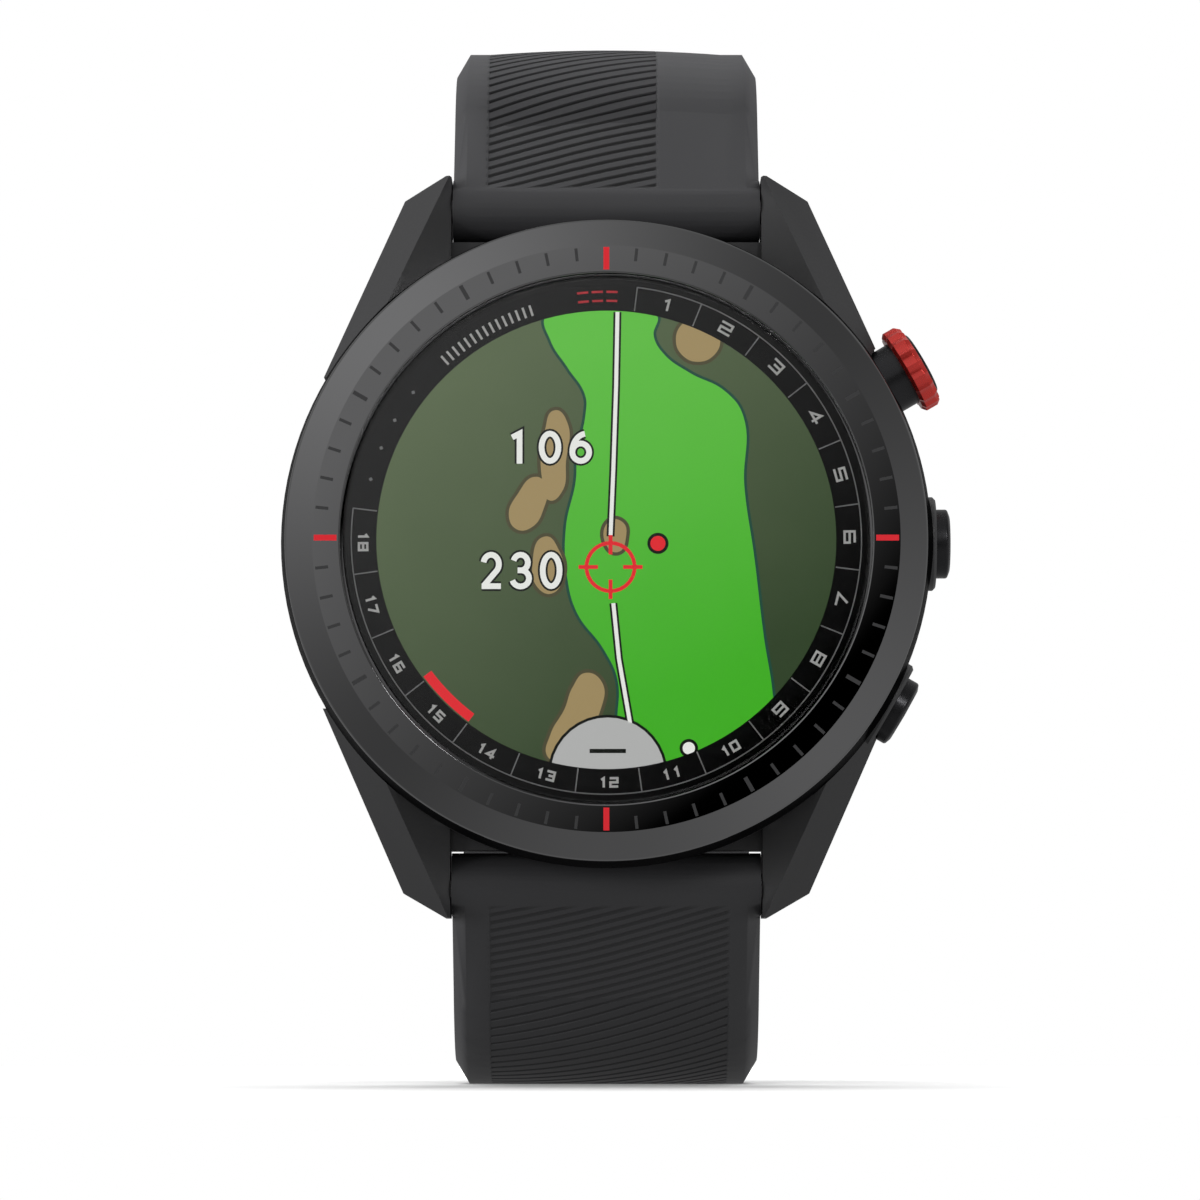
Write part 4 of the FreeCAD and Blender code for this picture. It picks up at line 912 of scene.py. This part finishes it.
def strap_length(point, sign):
    """Length along a strap half, in mm from its lug bar, of a point given relative to the dial."""
    flat = Vector((point.y / MM, sign * point.z / MM))
    tight, long = bend_centres(sign)
    straight = (flat - BAR_AXIS).dot(UP_STRAP)
    if straight < STRAIGHT[sign] and flat.x < tight.x:
        return straight
    offset = flat - tight
    angle = math.degrees(math.atan2(offset.y, offset.x))
    if BEND_END <= angle <= 180:
        return STRAIGHT[sign] + math.radians(BEND_START - angle) * BEND
    offset = flat - long
    angle = math.degrees(math.atan2(offset.y, offset.x))
    return STRAIGHT[sign] + BEND_SWEEP * BEND + math.radians(BEND_END - angle) * SWEEP[sign]


def crown_height(across, length):
    """How far the outer face swells at a distance across the strap and a length along it."""
    fade = max(min((length - 1) / 3, (32 - length) / 8, 1), 0)
    return CROWN * max(1 - (across / CROWN_HALF_WIDTH) ** 2, 0) * fade


def strap_point(across, length, sign, height):
    """A place over the outer face of a strap half, in the dial's frame."""
    tight, long = bend_centres(sign)
    bent = length - STRAIGHT[sign]
    if bent < 0:
        middle, way = BAR_AXIS + UP_STRAP * length, OFF_STRAP
    elif bent < BEND_SWEEP * BEND:
        way = unit(BEND_START - math.degrees(bent / BEND))
        middle = tight + way * BEND
    else:
        way = unit(BEND_END - math.degrees((bent - BEND_SWEEP * BEND) / SWEEP[sign]))
        middle = long + way * SWEEP[sign]
    place = middle + way * (HALF_THICK + crown_height(across, length) + height)
    return dial(across, sign * place.y, place.x)


def is_outer(face):
    """True for a face on the outside of the strap loop, apart from its two edges."""
    return abs(face.normal.x) < 0.5 and face.normal.dot(LOOP_CENTRE - face.calc_center_median()) < 0


def shape_outer_face(work, sign, field):
    """Swell the outer face along its middle, and sink the field that the ribs stand in."""
    steps = [0, 2, -2, 4, -4, 6, -6, 7.4, -7.4, CROWN_HALF_WIDTH, -CROWN_HALF_WIDTH]
    steps += [edge + shift for edge in (field["left"], field["right"]) for shift in (-0.04, 0.04)]
    cuts = [(dial(across, 0), (1, 0, 0)) for across in steps]
    for edge in (field["start"], field["end"]):
        for shift in (-0.04, 0.04):
            here = strap_point(0, edge + shift, sign, 0)
            cuts.append((here, strap_point(0, edge + shift + 0.1, sign, 0) - here))
    for place, way in cuts:
        bmesh.ops.bisect_plane(work, geom=work.verts[:] + work.edges[:] + work.faces[:], dist=1e-6,
                               plane_co=place, plane_no=way)
    work.normal_update()
    ways = {}
    for face in work.faces:
        if is_outer(face):
            for vert in face.verts:
                ways[vert] = ways.get(vert, Vector()) + face.normal * face.calc_area()
    for vert, way in ways.items():
        local = vert.co - DIAL
        across = local.x / MM
        length = strap_length(local, sign)
        rise = crown_height(across, length)
        if field["left"] < across < field["right"] and field["start"] < length < field["end"]:
            rise -= field["depth"]
        way.x = 0
        vert.co += way.normalized() * rise * MM
    work.normal_update()


def make_ribs(name, sign, body, field):
    """Slanting ribs with open grooves between them, flush with the strap's outer face."""
    work = bmesh.new()
    pitch = field["pitch"]
    half_top, half_foot = pitch * 0.32, pitch * 0.4
    profile = [(-half_foot, -0.02 - field["depth"]), (-half_top, 0), (half_top, 0),
               (half_foot, -0.02 - field["depth"])]
    steps = 24
    reach = field["right"] - field["left"]
    for rib in range(-12, int(field["end"] / pitch) + 12):
        rows = []
        for step in range(steps + 1):
            across = field["left"] + reach * step / steps
            length = pitch * (rib + 0.25) + field["slant"] * across - GROOVE_SAG * across ** 2
            if field["start"] + half_foot < length < field["end"] - half_foot:
                rows.append([work.verts.new(strap_point(across, length + shift, sign, height))
                             for shift, height in profile])
        for near, far in zip(rows, rows[1:]):
            for corner in range(4):
                after = (corner + 1) % 4
                work.faces.new((near[corner], near[after], far[after], far[corner]))
        if len(rows) > 1:
            work.faces.new(rows[0])
            work.faces.new(rows[-1])
    loose = [vert for vert in work.verts if not vert.link_faces]
    bmesh.ops.delete(work, geom=loose, context="VERTS")
    to_piece(name, mesh_from(work, name), RIB_SILICONE, body, (), 30)


def make_strap(name, sign, body, field, groove_shade):
    """A silicone strap half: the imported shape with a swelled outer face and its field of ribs."""
    work = bmesh.new()
    work.from_mesh(NODES[name].data)
    bmesh.ops.remove_doubles(work, verts=work.verts, dist=2e-6)
    work.normal_update()
    shape_outer_face(work, sign, field)
    uv = work.loops.layers.uv.new("strap_mm")
    for face in work.faces:
        outer = is_outer(face)
        for loop in face.loops:
            local = loop.vert.co - DIAL
            loop[uv].uv = (local.x / MM if outer else OFF_GROOVES, strap_length(local, sign))
    mesh = bpy.data.meshes.new(name)
    work.to_mesh(mesh)
    work.free()
    edges = (field["left"], field["right"], field["start"], field["end"])
    # The last value sets how dark the painted shade in the grooves goes.
    material = silicone(f"grooved_silicone_{name}", (*edges, field["slant"], field["pitch"], groove_shade))
    to_piece(f"silicone_{name}", mesh, material, body, (name,), 40)
    make_ribs(f"ribs_{name}", sign, body, field)


RIB_SILICONE = silicone("rib_silicone", None)
UPPER_FIELD = {"left": -8.7, "right": 3.7, "start": 0.6, "end": 44.0, "slant": 0.3, "pitch": 0.82,
               "depth": 0.13}
LOWER_FIELD = {"left": -8.5, "right": 8.9, "start": 0.6, "end": 26.0, "slant": -0.3, "pitch": 0.7,
               "depth": 0.07}


def make_straps():
    # The last number is the share of painted shade in each half's grooves.
    make_strap("strap_upper", 1, "upper_band", UPPER_FIELD, 1.0)
    make_strap("strap_lower", -1, "lower_band", LOWER_FIELD, 0.5)


# ------------------------------------------------------------------ studio
# A plain soft room: a key panel at upper left, a weaker fill at lower right, dim corners between.
ROOM_PANELS = [(45, 0.15), (135, 0.35), (225, 0.15), (315, 0.6)]
FRONT_LIGHT = 0.42
BACK_LIGHT = 0.3
CAMERA_RISE = -4.5
CAMERA_SLOPE = 0.0787


def room_ramp(tree, turn):
    """Soft room brightness from an angle in radians, -pi to pi with 0 at 12 o'clock."""
    place = add(tree, "ShaderNodeMapRange", {"Value": turn, "From Min": -math.pi, "From Max": math.pi})
    ramp = add(tree, "ShaderNodeValToRGB", {"Fac": place.outputs["Result"]})
    ramp.color_ramp.interpolation = "EASE"
    stops = sorted(((angle + 180) % 360 / 360, light) for angle, light in ROOM_PANELS)
    below = (stops[0][1] + stops[-1][1]) / 2
    elements = ramp.color_ramp.elements
    for element, position in zip(elements, (0.0, 1.0)):
        element.position = position
        element.color = (below, below, below, 1)
    for position, light in stops:
        elements.new(position).color = (light, light, light, 1)
    return ramp.outputs["Color"]


def make_world():
    """White to the camera; to everything else a plain soft room."""
    world = bpy.data.worlds.new("studio")
    world.use_nodes = True
    bpy.context.scene.world = world
    tree = world.node_tree
    tree.nodes.clear()
    place = add(tree, "ShaderNodeTexCoord")
    parts = add(tree, "ShaderNodeSeparateXYZ", {"Vector": place.outputs["Generated"]})
    x, y, z = parts.outputs["X"], parts.outputs["Y"], parts.outputs["Z"]
    turn = math_node(tree, "ARCTAN2", x, math_node(tree, "SUBTRACT", z, CAMERA_SLOPE))
    sides = room_ramp(tree, turn)
    ahead = math_node(tree, "MAXIMUM", math_node(tree, "MULTIPLY", y, -1.0), 0.001)
    across = math_node(tree, "DIVIDE", x, ahead)
    up = math_node(tree, "SUBTRACT", math_node(tree, "DIVIDE", z, ahead), CAMERA_SLOPE)
    square = math_node(tree, "ADD", math_node(tree, "MULTIPLY", across, across), math_node(tree, "MULTIPLY",
                                                                                           up, up))
    reach = math_node(tree, "SQRT", square)
    slope = math_node(tree, "SUBTRACT", up, across)
    front = add(tree, "ShaderNodeMapRange", {"Value": slope, "From Min": -0.056, "From Max": 0.056,
                                             "To Min": 0.0, "To Max": FRONT_LIGHT})
    outer = add(tree, "ShaderNodeMapRange", {"Value": reach, "From Min": 0.07, "From Max": 0.6})
    room = add(tree, "ShaderNodeMixRGB", {"Fac": outer.outputs["Result"], "Color1": front.outputs["Result"],
                                          "Color2": sides})
    behind = add(tree, "ShaderNodeMapRange", {"Value": y, "From Min": -0.25, "From Max": 0.2})
    whole = add(tree, "ShaderNodeMixRGB", {"Fac": behind.outputs["Result"], "Color1": room.outputs["Color"],
                                           "Color2": (BACK_LIGHT, BACK_LIGHT, BACK_LIGHT, 1.0)})
    path = add(tree, "ShaderNodeLightPath")
    seen = add(tree, "ShaderNodeMixRGB", {"Fac": path.outputs["Is Camera Ray"],
                                          "Color1": whole.outputs["Color"],
                                          "Color2": (1.0, 1.0, 1.0, 1.0)})
    light = add(tree, "ShaderNodeBackground", {"Color": seen.outputs["Color"], "Strength": 1.0})
    add(tree, "ShaderNodeOutputWorld", {"Surface": light.outputs[0]})


def make_studio():
    """Pale floor, soft light and a camera level with the watch."""
    floor_mesh = bpy.data.meshes.new("floor")
    work = bmesh.new()
    bmesh.ops.create_circle(work, cap_ends=True, segments=96, radius=0.17)
    work.to_mesh(floor_mesh)
    work.free()
    floor = bpy.data.objects.new("floor", floor_mesh)
    bpy.context.scene.collection.objects.link(floor)
    floor.location = (0, 0, 0)
    paint, tree, shader = start_material("pale_floor", "#f4f4f4", 0.9)
    grain(tree, shader, 4.0, 0.01, 0.1)
    floor_mesh.materials.append(paint)
    floor.visible_glossy = False
    floor.visible_diffuse = False

    make_world()
    make_card("overhead_card", (0, 0.43, 0.9), 0.45, (0.5, 0.4), 5.6)
    make_card("left_card", (-0.95, -0.28, 0.05), 0.5, (0.3, 0.3), 7.5)
    make_card("right_card", (0.95, -0.28, -0.1), 0.5, (0.3, 0.3), 4.6)
    make_card("spark_card", (0.37, -0.82, 0.44), 0.4, (0.05, 0.1), 9.0, shine=True)

    camera_data = bpy.data.cameras.new("camera")
    camera = bpy.data.objects.new("camera", camera_data)
    bpy.context.scene.collection.objects.link(camera)
    rise = math.radians(CAMERA_RISE)
    distance = 440 * MM
    camera.location = DIAL + Vector((0, -math.cos(rise), math.sin(rise))) * distance
    camera.rotation_euler = (math.radians(90) - rise, 0, 0)
    camera_data.sensor_width = 36
    camera_data.lens = 184.6
    camera_data.shift_x = -0.0053
    camera_data.shift_y = -0.0520
    camera_data.clip_start = 0.01
    bpy.context.scene.camera = camera
    bpy.context.scene.view_settings.view_transform = "Standard"


def make_card(name, direction, distance, size, radiance, shine=False):
    """A soft light card in a direction from the dial; only a small one shows in polished faces."""
    data = bpy.data.lights.new(name, "AREA")
    data.shape = "RECTANGLE"
    data.size, data.size_y = size
    data.energy = radiance * size[0] * size[1] * math.pi
    card = bpy.data.objects.new(name, data)
    bpy.context.scene.collection.objects.link(card)
    card.visible_glossy = shine
    card.visible_transmission = False
    away = Vector(direction).normalized()
    card.location = DIAL + away * distance
    card.rotation_euler = away.to_track_quat("Z", "Y").to_euler()


finish_cad_nodes()
make_bezel()
make_ticks()
make_lens()
make_number_ring()
make_display()
make_caps()
make_start_button()
make_straps()
make_strap_hardware()
make_case()
make_back_screws()
make_studio()
